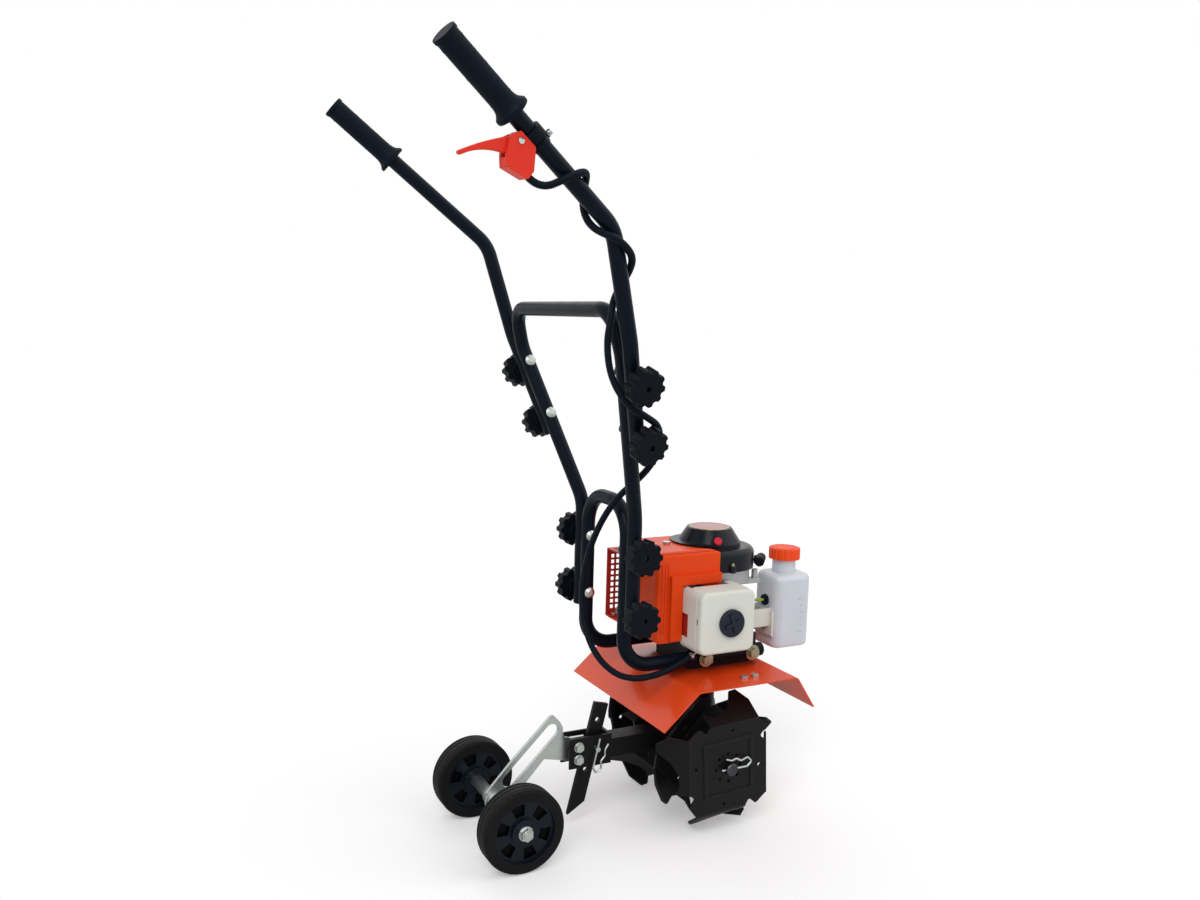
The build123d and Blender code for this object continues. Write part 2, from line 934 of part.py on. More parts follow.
# Clutch housing
with BuildPart() as clutch_housing:
    block((clutch_rear, clutch_front), across(clutch_half_width), (fender_top_z, clutch_top_z))
    fillet(clutch_housing.edges().filter_by(Axis.Z), clutch_corner_r)
    rod((crank_x, 0, fender_top_z + clutch_floor), (0, 0, 1), clutch_bore_r, clutch_top_z, Mode.SUBTRACT)
    rod((crank_x, 0, fender_top_z - pass_through), (0, 0, 1), column_bore_r, clutch_top_z, Mode.SUBTRACT)
    for place in bolt_ring(flange_bolt_circle / 2, fender_top_z - pass_through):
        rod(place, (0, 0, 1), flange_bolt_r + hole_clear, clutch_floor, Mode.SUBTRACT)
    for side in (RIGHT, LEFT):
        for place in base_bolt_places:
            start = (axle_x + place, side * (clutch_half_width - base_bolt_depth - pass_through), loop_z)
            depth = base_bolt_depth + 2 * pass_through
            rod(start, (0, side, 0), base_bolt_r + hole_clear, depth, Mode.SUBTRACT)
save(clutch_housing, "clutch_housing")


def hex_head(seat, way, radius, height):
    """Six-sided head standing on its seat."""
    with BuildSketch(Plane(origin=seat, z_dir=way)) as outline:
        RegularPolygon(radius, 6)
    extrude(outline.sketch, amount=height)


base_seat = loop_half + tube_r + seat_gap
with BuildPart() as base_bolts:
    for side in (RIGHT, LEFT):
        for place in base_bolt_places:
            way = Vector(0, side, 0)
            seat = Vector(axle_x + place, side * base_seat, loop_z)
            depth = base_seat - clutch_half_width + base_bolt_depth
            rod(seat - way * depth, way, base_bolt_r, depth)
            rod(seat, way, base_washer_r, base_washer_h)
            hex_head(seat + way * base_washer_h, way, base_head_r, base_head_h)
save(base_bolts, "base_bolts")


# Gearbox case, split upright through the worm
worm_top_bearing_z = axle_z + worm_length / 2 + worm_space_above
worm_low_bearing_z = axle_z - worm_length / 2 - worm_space_below - worm_bearing_w
flange_z = fender_under_z - flange_h
case_screw_r = case_screw_circle / 2
case_screws = [
    (axle_x + case_screw_r * cos(radians(turn)), axle_z + case_screw_r * sin(radians(turn)))
    for turn in (100, 215, 270)
]


def gearbox_half(side):
    with BuildPart() as half:
        rod((axle_x, -case_half, axle_z), (0, 1, 0), case_r, 2 * case_half)
        rod((axle_x, -case_boss_half, axle_z), (0, 1, 0), bearing_r + case_wall, 2 * case_boss_half)
        column_foot_z = worm_low_bearing_z - case_wall
        rod((crank_x, 0, column_foot_z), (0, 0, 1), column_r, flange_z - column_foot_z)
        rod((crank_x, 0, flange_z), (0, 0, 1), flange_r, flange_h)
        block((arm_face, arm_face + arm_pad_depth), across(arm_foot_half), arm_foot_z)
        rod((axle_x, -case_inner_half, axle_z), (0, 1, 0), case_bore_r, 2 * case_inner_half, Mode.SUBTRACT)
        for hand in (RIGHT, LEFT):
            start = (axle_x, hand * case_inner_half, axle_z)
            rod(start, (0, hand, 0), bearing_r, bearing_width, Mode.SUBTRACT)
            rod(start, (0, hand, 0), shaft_r + face_clear, case_boss_half, Mode.SUBTRACT)
        rod((crank_x, 0, worm_low_bearing_z), (0, 0, 1), worm_bearing_r, worm_bearing_w, Mode.SUBTRACT)
        rod((crank_x, 0, worm_low_bearing_z), (0, 0, 1), column_bore_r, fender_top_z, Mode.SUBTRACT)
        rod((crank_x, 0, worm_top_bearing_z), (0, 0, 1), worm_bearing_r, worm_bearing_w, Mode.SUBTRACT)
        for place in bolt_ring(flange_bolt_circle / 2, flange_z - pass_through):
            depth = flange_h + 2 * pass_through
            rod(place, (0, 0, 1), flange_bolt_r + hole_clear, depth, Mode.SUBTRACT)
        for x, z in case_screws:
            rod((x, -case_half, z), (0, 1, 0), small_bolt_r + hole_clear, 2 * case_half, Mode.SUBTRACT)
        for hand in (RIGHT, LEFT):
            place = (axle_x + arm_face - pass_through, hand * arm_bolt_y, arm_z)
            rod(place, (1, 0, 0), small_bolt_r + hole_clear, arm_bolt_depth, Mode.SUBTRACT)
        split(bisect_by=Plane.XZ, keep=Keep.TOP if side == RIGHT else Keep.BOTTOM)
    return half


for side in (RIGHT, LEFT):
    save(gearbox_half(side), f"gearbox_{side_names[side]}")

with BuildPart() as bearings:
    for side in (RIGHT, LEFT):
        start = (axle_x, side * case_inner_half, axle_z)
        rod(start, (0, side, 0), bearing_r, bearing_width)
        rod(start, (0, side, 0), shaft_r + running_clear, bearing_width, Mode.SUBTRACT)
    for z in (worm_low_bearing_z, worm_top_bearing_z):
        rod((crank_x, 0, z), (0, 0, 1), worm_bearing_r, worm_bearing_w)
        rod((crank_x, 0, z), (0, 0, 1), worm_journal_r + running_clear, worm_bearing_w, Mode.SUBTRACT)
save(bearings, "bearings")


# Worm shaft with the clutch drum on its upper end
lead = pi * gear_module
flank = tan(radians(pressure_angle))
drum_floor_z = fender_top_z + clutch_floor + drum_lift


def flank_width(radius_from_pitch):
    """Half width of a tooth or thread, away from its pitch line."""
    return thread_half - radius_from_pitch * flank


with BuildPart() as worm_shaft:
    rod((crank_x, 0, worm_low_bearing_z), (0, 0, 1), worm_journal_r, worm_bearing_w + journal_shoulder)
    rod((crank_x, 0, worm_low_bearing_z), (0, 0, 1), worm_root_r, worm_top_bearing_z - worm_low_bearing_z)
    journal_z = worm_top_bearing_z - journal_shoulder
    rod((crank_x, 0, journal_z), (0, 0, 1), worm_journal_r, drum_floor_z + drum_wall - journal_z)
    rod((crank_x, 0, drum_floor_z), (0, 0, 1), drum_r, drum_h)
    rod((crank_x, 0, drum_floor_z + drum_wall), (0, 0, 1), drum_r - drum_wall, drum_h, Mode.SUBTRACT)
    with BuildLine() as thread_line:
        Helix(lead, worm_turns * lead, worm_pitch_r, center=(crank_x, 0, axle_z - worm_turns / 2 * lead))
    with BuildSketch(Plane(origin=thread_line.line @ 0, x_dir=(1, 0, 0), z_dir=thread_line.line % 0)):
        Polygon(
            (worm_root_r - worm_pitch_r - thread_sink, -flank_width(worm_root_r - worm_pitch_r)),
            (worm_tip_r - worm_pitch_r, -flank_width(worm_tip_r - worm_pitch_r)),
            (worm_tip_r - worm_pitch_r, flank_width(worm_tip_r - worm_pitch_r)),
            (worm_root_r - worm_pitch_r - thread_sink, flank_width(worm_root_r - worm_pitch_r)),
            align=None,
        )
    sweep(path=thread_line.wire(), is_frenet=True)
save(worm_shaft, "worm_shaft")


# Worm wheel, its teeth slanted to follow the worm's thread
slant = lead / (2 * pi * worm_pitch_r)
with BuildPart() as tooth:
    with BuildSketch(side_plane(axle_x, -gear_width / 2, axle_z + gear_width / 2 * slant)):
        Polygon(
            (gear_root_r - tooth_sink, -flank_width(gear_root_r - wheel_pitch_r)),
            (gear_tip_r, -flank_width(gear_tip_r - wheel_pitch_r)),
            (gear_tip_r, flank_width(gear_tip_r - wheel_pitch_r)),
            (gear_root_r - tooth_sink, flank_width(gear_root_r - wheel_pitch_r)),
            align=None,
        )
    extrude(amount=gear_width, dir=Vector(0, 1, -slant))
tine_axis = Axis((axle_x, 0, axle_z), (0, 1, 0))
with BuildPart() as worm_wheel:
    rod((axle_x, -gear_width / 2, axle_z), (0, 1, 0), gear_root_r, gear_width)
    add([tooth.part.rotate(tine_axis, 360 * index / gear_teeth) for index in range(gear_teeth)])
    rod((axle_x, -gear_width / 2, axle_z), (0, 1, 0), shaft_r + running_clear, gear_width, Mode.SUBTRACT)
save(worm_wheel, "worm_wheel")


# Tine axle and its hairpin clips
with BuildPart() as tine_axle:
    rod((axle_x, -shaft_half, axle_z), (0, 1, 0), shaft_r, 2 * shaft_half)
    chamfer(tine_axle.edges().filter_by(GeomType.CIRCLE), shaft_bevel)
    for side in (RIGHT, LEFT):
        place = (axle_x - 2 * shaft_r, side * clip_place, axle_z)
        rod(place, (1, 0, 0), clip_wire_r + hole_clear, 4 * shaft_r, Mode.SUBTRACT)
save(tine_axle, "tine_axle")

clip_points = [(-17, 0), (30, 0), (38, 7), (30, 15), (18, 11), (9, 16), (0, 13.5), (-10, 17)]


def hairpin(plane):
    """Bent wire clip: one straight leg through the hole, one wavy leg round the outside."""
    with BuildPart() as clip:
        with BuildLine(plane) as wire:
            FilletPolyline(*clip_points, radius=clip_bend_r)
        with BuildSketch(Plane(origin=wire.line @ 0, z_dir=wire.line % 0)):
            Circle(clip_wire_r)
        sweep(path=wire.wire())
    return clip.part


with BuildPart() as axle_clips:
    add([hairpin(side_plane(axle_x, side * clip_place, axle_z)) for side in (RIGHT, LEFT)])
save(axle_clips, "axle_clips")


# Tines: square pressed plates, each side folded into a hooked blade
def around(point, turn):
    """Point of a plate's side, turned round the axle."""
    r, t = point
    return r * cos(turn) - t * sin(turn), r * sin(turn) + t * cos(turn)


def tine(side, plate_y, phase, outward, sleeve):
    """One tine disc; outward is the way its blades fold, away from or towards the middle."""
    base = side_plane(axle_x, side * plate_y, axle_z)
    fold_way = Vector(0, side * outward, 0)
    with BuildPart() as disc:
        turns = [radians(phase + 90 * index) for index in range(4)]
        with BuildSketch(base) as plate:
            Polygon(*[around(point, turn) for turn in turns for point in plate_side], align=None)
            fillet(plate.vertices(), plate_round)
            Circle(shaft_r + running_clear, mode=Mode.SUBTRACT)
        extrude(amount=plate_thick / 2, both=True)
        with BuildSketch(base):
            rib_inside = rib_half - rib_width
            Rectangle(2 * rib_half, 2 * rib_half, rotation=phase)
            Rectangle(2 * rib_inside, 2 * rib_inside, rotation=phase, mode=Mode.SUBTRACT)
        extrude(amount=-side * (plate_thick / 2 + rib_height))
        for turn in turns:
            low = Vector(*around(fold_low, turn))
            high = Vector(*around(fold_high, turn))
            edge = (high - low).normalized()
            middle = base.from_local_coords((low + high) / 2)
            edge_way = base.from_local_coords(edge) - base.origin
            away = base.from_local_coords(Vector(edge.Y, -edge.X, 0)) - base.origin
            lean = fold_way * cos(radians(flap_lean)) + away * sin(radians(flap_lean))
            with BuildSketch(Plane(origin=middle, x_dir=edge_way, z_dir=edge_way.cross(lean))):
                Polygon(*flap_outline, align=None)
            extrude(amount=plate_thick / 2, both=True)
        for index in range(8):
            turn = radians(phase + 45 * index)
            x, z = around((tine_hole_circle / 2, 0), turn)
            place = (axle_x + x, side * plate_y - plate_thick, axle_z + z)
            rod(place, (0, 1, 0), tine_hole_r, 2 * plate_thick, Mode.SUBTRACT)
        for turn in turns:
            x, z = around(side_hole, turn)
            place = (axle_x + x, side * plate_y - plate_thick, axle_z + z)
            rod(place, (0, 1, 0), tine_hole_r, 2 * plate_thick, Mode.SUBTRACT)
        if sleeve:
            with BuildSketch(side_plane(axle_x, side * sleeve[0], axle_z)):
                Circle(sleeve_r)
                Circle(shaft_r + running_clear, mode=Mode.SUBTRACT)
            extrude(amount=-side * (sleeve[1] - sleeve[0]))
    return disc


sleeve_inner = case_boss_half + sleeve_space
sleeve_outer = outer_plate_y - plate_thick / 2 - seat_gap
for side in (RIGHT, LEFT):
    name = side_names[side]
    save(tine(side, outer_plate_y, outer_phase, -1, None), f"tine_{name}_outer")
    save(tine(side, inner_plate_y, inner_phase, 1, (sleeve_inner, sleeve_outer)), f"tine_{name}_inner")


# Rear arm with its clevis
def bar_centre(z):
    """Fore-and-aft place of the drag bar's centre at a height."""
    return bar_pin_x + (z - arm_z) * tan(radians(bar_lean))


def about_arm(half):
    """Limits that lie evenly above and below the arm's centre."""
    return arm_z - half, arm_z + half


bracket_bolts = [(bracket_bolt_x, z) for z in about_arm(bracket_bolt_pitch / 2)]
bar_pin_z = arm_z + bar_pin_rise
with BuildPart() as rear_arm:
    block((arm_face - arm_foot_thick, arm_face), across(arm_foot_half), arm_foot_z)
    block((clevis_start - clevis_lap, arm_face), across(arm_half_width), about_arm(arm_half_height))
    block((clevis_end, clevis_start), across(arm_half_width), about_arm(clevis_half_height))
    inside = across(arm_half_width - arm_wall)
    rear_open = clevis_end - pass_through
    bore = about_arm(arm_half_height - arm_wall)
    block((rear_open, arm_face + pass_through), inside, bore, Mode.SUBTRACT)
    block((rear_open, clevis_start - clevis_web), inside, about_arm(2 * clevis_half_height), Mode.SUBTRACT)
    for x, z in bracket_bolts + [(bar_centre(bar_pin_z), bar_pin_z)]:
        place = (axle_x + x, -2 * arm_half_width, z)
        rod(place, (0, 1, 0), bracket_bolt_r + hole_clear, 4 * arm_half_width, Mode.SUBTRACT)
    for side in (RIGHT, LEFT):
        place = (axle_x + arm_face - 2 * arm_foot_thick, side * arm_bolt_y, arm_z)
        rod(place, (1, 0, 0), small_bolt_r + hole_clear, 3 * arm_foot_thick, Mode.SUBTRACT)
save(rear_arm, "rear_arm")

bar_plane = Plane(
    origin=(axle_x + bar_centre(bar_pin_z), 0, bar_pin_z),
    x_dir=(cos(radians(bar_lean)), 0, -sin(radians(bar_lean))),
    z_dir=(0, -1, 0),
)
with BuildPart() as drag_bar:
    with BuildSketch(bar_plane):
        Polygon(
            (-bar_width / 2, bar_up),
            (bar_width / 2, bar_up),
            (bar_width / 2, -bar_down + bar_width),
            (-bar_width / 2, -bar_down),
            align=None,
        )
        with Locations(*[(0, bar_hole_pitch * index) for index in (-1, 0, 1)]):
            Circle(bar_hole_r + hole_clear, mode=Mode.SUBTRACT)
    extrude(amount=bar_thick / 2, both=True)
save(drag_bar, "drag_bar")


# Wheel bracket, axle and wheels
wheel_x = -wheel_setback
bracket_outline = [
    (-191, 143),
    (-215, 143),
    (-224, 146),
    (-228, 154),
    (-228, 162),
    (-233, 171.5),
    (-246.5, 186),
    (-309, 125),
    (-353, 78),
    (-337, 46),
    (-318, 52),
    (-259, 116),
    (-201, 103),
]
slot_top = Vector(-246.7, 159.8)
slot_foot = Vector(-316.7, 91.2)
slot_run = slot_top - slot_foot
slot_turn = degrees(atan2(slot_run.Y, slot_run.X))
with BuildPart() as wheel_bracket:
    with BuildSketch(side_plane(axle_x, 0, 0)):
        Polygon(*bracket_outline, align=None)
        with Locations((wheel_x, wheel_r)):
            Circle(bracket_eye_r)
            Circle(wheel_shaft_r + hole_clear, mode=Mode.SUBTRACT)
        with Locations((slot_top + slot_foot) / 2):
            SlotCenterToCenter(slot_run.length, slot_width, rotation=slot_turn, mode=Mode.SUBTRACT)
    extrude(amount=bracket_thick / 2, both=True)
    for side in (RIGHT, LEFT):
        with BuildSketch(side_plane(axle_x + wheel_x, 0, wheel_r)) as sleeve:
            Circle(bracket_sleeve_r)
            Circle(wheel_tube_r + seat_gap, mode=Mode.SUBTRACT)
        extrude(sleeve.sketch, amount=-side * bracket_sleeve_half)
    with BuildSketch(side_plane(axle_x + wheel_x, 0, wheel_r)) as web:
        Circle(wheel_tube_r + 2 * seat_gap)
        Circle(wheel_shaft_r + hole_clear, mode=Mode.SUBTRACT)
    extrude(web.sketch, amount=bracket_thick / 2, both=True)
    fillet(wheel_bracket.edges().filter_by(Axis.Y).group_by(Axis.Z)[-1], bracket_round)
    for x, z in bracket_bolts:
        place = (axle_x + x, -bracket_thick, z)
        rod(place, (0, 1, 0), bracket_bolt_r + hole_clear, 2 * bracket_thick, Mode.SUBTRACT)
save(wheel_bracket, "wheel_bracket")

wheel_centre = Vector(axle_x + wheel_x, 0, wheel_r)
wheel_inside = wheel_half_track - wheel_width / 2
wheel_outside = wheel_half_track + wheel_width / 2
with BuildPart() as wheel_axle:
    for side in (RIGHT, LEFT):
        way = Vector(0, side, 0)
        rod(wheel_centre, way, wheel_shaft_r, wheel_outside + face_clear + washer_h + nut_h + thread_end)
        start = wheel_centre + way * (bracket_thick / 2 + seat_gap)
        rod(start, way, wheel_tube_r, wheel_inside - face_clear - bracket_thick / 2 - seat_gap)
save(wheel_axle, "wheel_axle")

tread_grooves = (-9.0, 0.0, 9.0)
for side in (RIGHT, LEFT):
    way = Vector(0, side, 0)
    with BuildPart() as wheel:
        rod(wheel_centre + way * wheel_inside, way, wheel_r, wheel_width)
        fillet(wheel.edges().filter_by(GeomType.CIRCLE), tyre_round)
        for face_y, inward in ((wheel_inside, 1), (wheel_outside, -1)):
            face = wheel_centre + way * face_y
            with BuildSketch(Plane(origin=face, x_dir=(1, 0, 0), z_dir=way * inward)) as dish:
                Circle(rim_r)
                Circle(hub_r, mode=Mode.SUBTRACT)
            extrude(dish.sketch, amount=dish_depth, mode=Mode.SUBTRACT)
            floor = face + way * inward * dish_depth
            with BuildSketch(Plane(origin=floor, x_dir=(1, 0, 0), z_dir=way * inward)) as panels:
                for index in range(panel_count):
                    with BuildLine():
                        start_turn = 360 / panel_count * index
                        outer_arc = CenterArc((0, 0), rim_r - panel_border, start_turn, panel_sweep)
                        inner_arc = CenterArc((0, 0), hub_r + panel_border, start_turn, panel_sweep)
                        Line(outer_arc @ 0, inner_arc @ 0)
                        Line(outer_arc @ 1, inner_arc @ 1)
                    make_face()
            extrude(panels.sketch, amount=panel_depth, mode=Mode.SUBTRACT)
        for groove in tread_grooves:
            with Locations(Plane(origin=wheel_centre + way * (wheel_half_track + groove), z_dir=way)):
                Torus(wheel_r, groove_r, mode=Mode.SUBTRACT)
        rod(wheel_centre, way, wheel_shaft_r + running_clear, 2 * wheel_half_track, Mode.SUBTRACT)
    save(wheel, f"wheel_{side_names[side]}")


# Engine crankcase, standing on the clutch housing
crank_foot = (crank_x, 0, clutch_top_z)
case_h = crank_case_top_z - clutch_top_z
fan_case_h = fan_case_top_z - clutch_top_z
cylinder_pad_z = (cylinder_z - cylinder_pad_rise, cylinder_z + cylinder_pad_rise)


def drawn_out(radius, z, height, mode=Mode.ADD):
    """Upright slab round the crankshaft, drawn out towards the front."""
    with BuildSketch(Plane(origin=(crank_x + starter_reach / 2, 0, z))) as outline:
        SlotCenterToCenter(starter_reach, 2 * radius)
    extrude(outline.sketch, amount=height, mode=mode)


with BuildPart() as crankcase:
    rod(crank_foot, (0, 0, 1), fan_case_r, fan_case_h)
    rod(crank_foot, (0, 0, 1), crank_case_r, case_h)
    drawn_out(crank_flange_r, crank_flange_z, crank_case_top_z - crank_flange_z)
    pocket_x = (worm_offset - crank_flange_r - pass_through, cylinder_foot)
    pocket_y = across(cylinder_pad_half + pass_through)
    pocket_z = (crank_flange_z - pass_through, cylinder_pad_z[1] + seat_gap)
    block(pocket_x, pocket_y, pocket_z, Mode.SUBTRACT)
    block((cylinder_foot, worm_offset - crank_room_r), across(cylinder_pad_half), cylinder_pad_z)
    block((boss_start, boss_face), boss_y, boss_z)
    lug_x, lug_y = lug_place
    block((lug_start, lug_x + lug_half), (lug_y - lug_half, lug_y + lug_half), lug_z)
    rod((axle_x + lug_x, lug_y, lug_z[0]), (0, 0, 1), lug_stud_r, lug_stud_length)
    rod(crank_foot, (0, 0, 1), fan_case_r - case_skin, fan_case_h - case_roof, Mode.SUBTRACT)
    room_z = fan_case_top_z + crank_room_floor
    room_h = crank_case_top_z - crank_room_roof - room_z
    rod((crank_x, 0, room_z), (0, 0, 1), crank_room_r, room_h, Mode.SUBTRACT)
    rod(crank_foot, (0, 0, 1), crank_r + running_clear, case_h, Mode.SUBTRACT)
    rod((crank_x, 0, cylinder_z), (-1, 0, 0), case_mouth_r, crank_x, Mode.SUBTRACT)
    for y, z in boss_screws:
        place = (axle_x + boss_face + pass_through, y, z)
        rod(place, (-1, 0, 0), small_bolt_r + hole_clear, boss_screw_depth, Mode.SUBTRACT)
save(crankcase, "crankcase")

# Crankshaft with its flywheel fan and the clutch shoes inside the drum
crank_low_z = drum_floor_z + drum_wall + drum_lift
shoe_z = crank_low_z + crank_end_space
shoe_r = drum_r - drum_wall - shoe_gap
with BuildPart() as crankshaft:
    rod((crank_x, 0, crank_low_z), (0, 0, 1), crank_r, crank_case_top_z - crank_end_space - crank_low_z)
    rod((crank_x, 0, flywheel_z), (0, 0, 1), flywheel_r, flywheel_thick)
    for index in range(vane_count):
        turn = 2 * pi * index / vane_count
        vane_foot = (crank_x, 0, flywheel_z + flywheel_thick)
        with Locations(Plane(origin=vane_foot, x_dir=(cos(turn), sin(turn), 0))):
            with Locations((vane_circle_r, 0, 0)):
                Box(vane_length, vane_thick, vane_h, align=UP)
    rod((crank_x, 0, shoe_z), (0, 0, 1), shoe_r, shoe_h)
    slit_length = shoe_r - crank_r + slit_overrun
    slit_centre = crank_r + slit_start + slit_length / 2
    for turn in (0, 90):
        with Locations(Location((crank_x, 0, shoe_z), turn)):
            with Locations((slit_centre, 0, 0), (-slit_centre, 0, 0)):
                Box(slit_length, shoe_slit, shoe_h, align=UP, mode=Mode.SUBTRACT)
    pin_half = crank_pin_length / 2
    for z in (cylinder_z - pin_half - crank_web_thick, cylinder_z + pin_half):
        rod((crank_x, 0, z), (0, 0, 1), crank_web_r, crank_web_thick)
    pin_z = cylinder_z - pin_half
    rod((crank_x, 0, pin_z), (0, 0, 1), crank_r + pass_through, crank_pin_length, Mode.SUBTRACT)
    pin_foot = (crank_x - crank_pin_offset, 0, pin_z - pass_through)
    rod(pin_foot, (0, 0, 1), crank_pin_r, crank_pin_length + 2 * pass_through)
save(crankshaft, "crankshaft")


# Cylinder with its fins, and the spark plug
port_x = axle_x + carb_centre[0]
exhaust_x = axle_x + exhaust_place
post_x = axle_x + post_place[0]
pad_z = cylinder_z + fin_size / 2
cylinder_length = cylinder_foot - cylinder_head
with BuildPart() as cylinder:
    rod((axle_x + cylinder_foot, 0, cylinder_z), (-1, 0, 0), cylinder_r, cylinder_length)
    block((cylinder_foot - foot_thick, cylinder_foot), across(cylinder_pad_half), cylinder_pad_z)
    fin_step = (cylinder_length - fin_start) / (fin_count - 1)
    for index in range(fin_count):
        x = cylinder_head + fin_step * index
        block((x, x + fin_thick), across(fin_size / 2), (cylinder_z - fin_size / 2, pad_z))
    rod((port_x, 0, cylinder_z), (0, -1, 0), port_boss_r, port_reach)
    rod((exhaust_x, 0, cylinder_z), (0, 1, 0), exhaust_boss_r, exhaust_reach)
    block(shroud_pad, across(shroud_pad_half), (cylinder_z + cylinder_bore_r, pad_z))
    bore_start = (axle_x + cylinder_foot + pass_through, 0, cylinder_z)
    rod(bore_start, (-1, 0, 0), cylinder_bore_r, cylinder_length - head_thick, Mode.SUBTRACT)
    rod((port_x, 0, cylinder_z), (0, -1, 0), port_r, port_reach + pass_through, Mode.SUBTRACT)
    rod((exhaust_x, 0, cylinder_z), (0, 1, 0), exhaust_r, exhaust_reach + pass_through, Mode.SUBTRACT)
    plug_start = (axle_x + cylinder_head - pass_through, 0, cylinder_z)
    rod(plug_start, (1, 0, 0), plug_thread_r + hole_clear, 2 * plug_thread_depth, Mode.SUBTRACT)
    post_hole = (post_x, post_place[1], pad_z + pass_through)
    rod(post_hole, (0, 0, -1), small_bolt_r + hole_clear, post_hole_depth, Mode.SUBTRACT)
save(cylinder, "cylinder")

with BuildPart() as spark_plug:
    head = Vector(axle_x + cylinder_head - seat_gap, 0, cylinder_z)
    rod(head, (1, 0, 0), plug_thread_r, plug_thread_depth)
    hex_head(head, Vector(-1, 0, 0), plug_hex_r, plug_hex_h)
    rod(head, (-1, 0, 0), plug_stem_r, plug_length)
save(spark_plug, "spark_plug")


# Starter housing with its domed cover
pull_way = Vector(cos(radians(pull_heading)), sin(radians(pull_heading)), 0)
pull_side = Vector(-pull_way.Y, pull_way.X, 0)
rope_start = Vector(crank_x, 0, pulley_z) + pull_side * rope_line_r
button_out = Vector(cos(radians(button_turn)), sin(radians(button_turn)), button_tilt).normalized()
dome_h = starter_top_z - dome_skirt_z
button_face_r = dome_base_r - (button_z - dome_skirt_z) * (dome_base_r - dome_top_r) / dome_h
button_seat = Vector(
    crank_x + button_face_r * cos(radians(button_turn)),
    button_face_r * sin(radians(button_turn)),
    button_z,
)
starter_foot = (crank_x, 0, crank_case_top_z)
starter_h = starter_top_z - crank_case_top_z
with BuildPart() as starter_housing:
    drawn_out(starter_r, crank_case_top_z, starter_drum_top_z - crank_case_top_z)
    fillet(starter_housing.edges().group_by(Axis.Z)[-1], starter_round)
    skirt_z = starter_drum_top_z - dome_lap
    rod((crank_x, 0, skirt_z), (0, 0, 1), dome_base_r, dome_skirt_z - skirt_z)
    with Locations((crank_x, 0, dome_skirt_z)):
        Cone(dome_base_r, dome_top_r, dome_h, align=UP)
    fillet(starter_housing.edges().group_by(Axis.Z)[-1], dome_round)
    flange_foot = (crank_x - dome_flange_back, 0, shroud_top_z + seat_gap)
    rod(flange_foot, (0, 0, 1), dome_base_r, dome_flange_h)
    rod(rope_start + pull_way * spout_start, pull_way, spout_r, pull_seat - spout_start - spout_inset)
    rod(button_seat - button_out * button_collar_depth, button_out, button_r + button_collar, button_collar_h)
    drawn_out(starter_bore_r, crank_case_top_z, starter_bore_h, Mode.SUBTRACT)
    rod(starter_foot, (0, 0, 1), dome_bore_r, starter_h - dome_roof, Mode.SUBTRACT)
    rod((crank_x, 0, crank_case_top_z + post_lift), (0, 0, 1), post_r, starter_h - post_lift - dome_roof / 2)
    rod(rope_start, pull_way, rope_r + rope_hole_clear, pull_seat, Mode.SUBTRACT)
    button_bore = button_seat - button_out * button_bore_half
    rod(button_bore, button_out, button_r + running_clear, 2 * button_bore_half, Mode.SUBTRACT)
save(starter_housing, "starter_housing")

with BuildPart() as starter_pulley:
    with Locations((crank_x, 0, pulley_z)):
        Cylinder(pulley_rim_r, 2 * pulley_half)
        Cylinder(pulley_rim_r + pass_through, pulley_groove_h, mode=Mode.SUBTRACT)
        Cylinder(pulley_groove_r, 2 * pulley_half)
        Cylinder(post_r + running_clear, 3 * pulley_half, mode=Mode.SUBTRACT)
save(starter_pulley, "starter_pulley")

with BuildPart() as starter_rope:
    rod(rope_start, pull_way, rope_r, pull_seat + rope_grip_depth)
save(starter_rope, "starter_rope")

grip_seat = rope_start + pull_way * pull_seat
with BuildPart() as starter_grip:
    rod(grip_seat, pull_way, pull_neck_r, pull_neck_h)
    bar_start = grip_seat + pull_way * pull_bar_place - pull_side * (pull_bar_length / 2)
    rod(bar_start, pull_side, pull_bar_r, pull_bar_length)
    rounds = starter_grip.edges().filter_by(GeomType.CIRCLE)
    fillet(rounds.filter_by(lambda edge: edge.radius > pull_neck_r + face_clear), pull_bar_round)
    rod(grip_seat, pull_way, rope_r + running_clear, rope_grip_depth, Mode.SUBTRACT)
save(starter_grip, "starter_grip")

with BuildPart() as stop_button:
    rod(button_seat - button_out * button_depth, button_out, button_r, button_depth + button_rise)
    fillet(stop_button.edges().sort_by(Axis(button_seat, button_out))[-1], button_round)
save(stop_button, "stop_button")


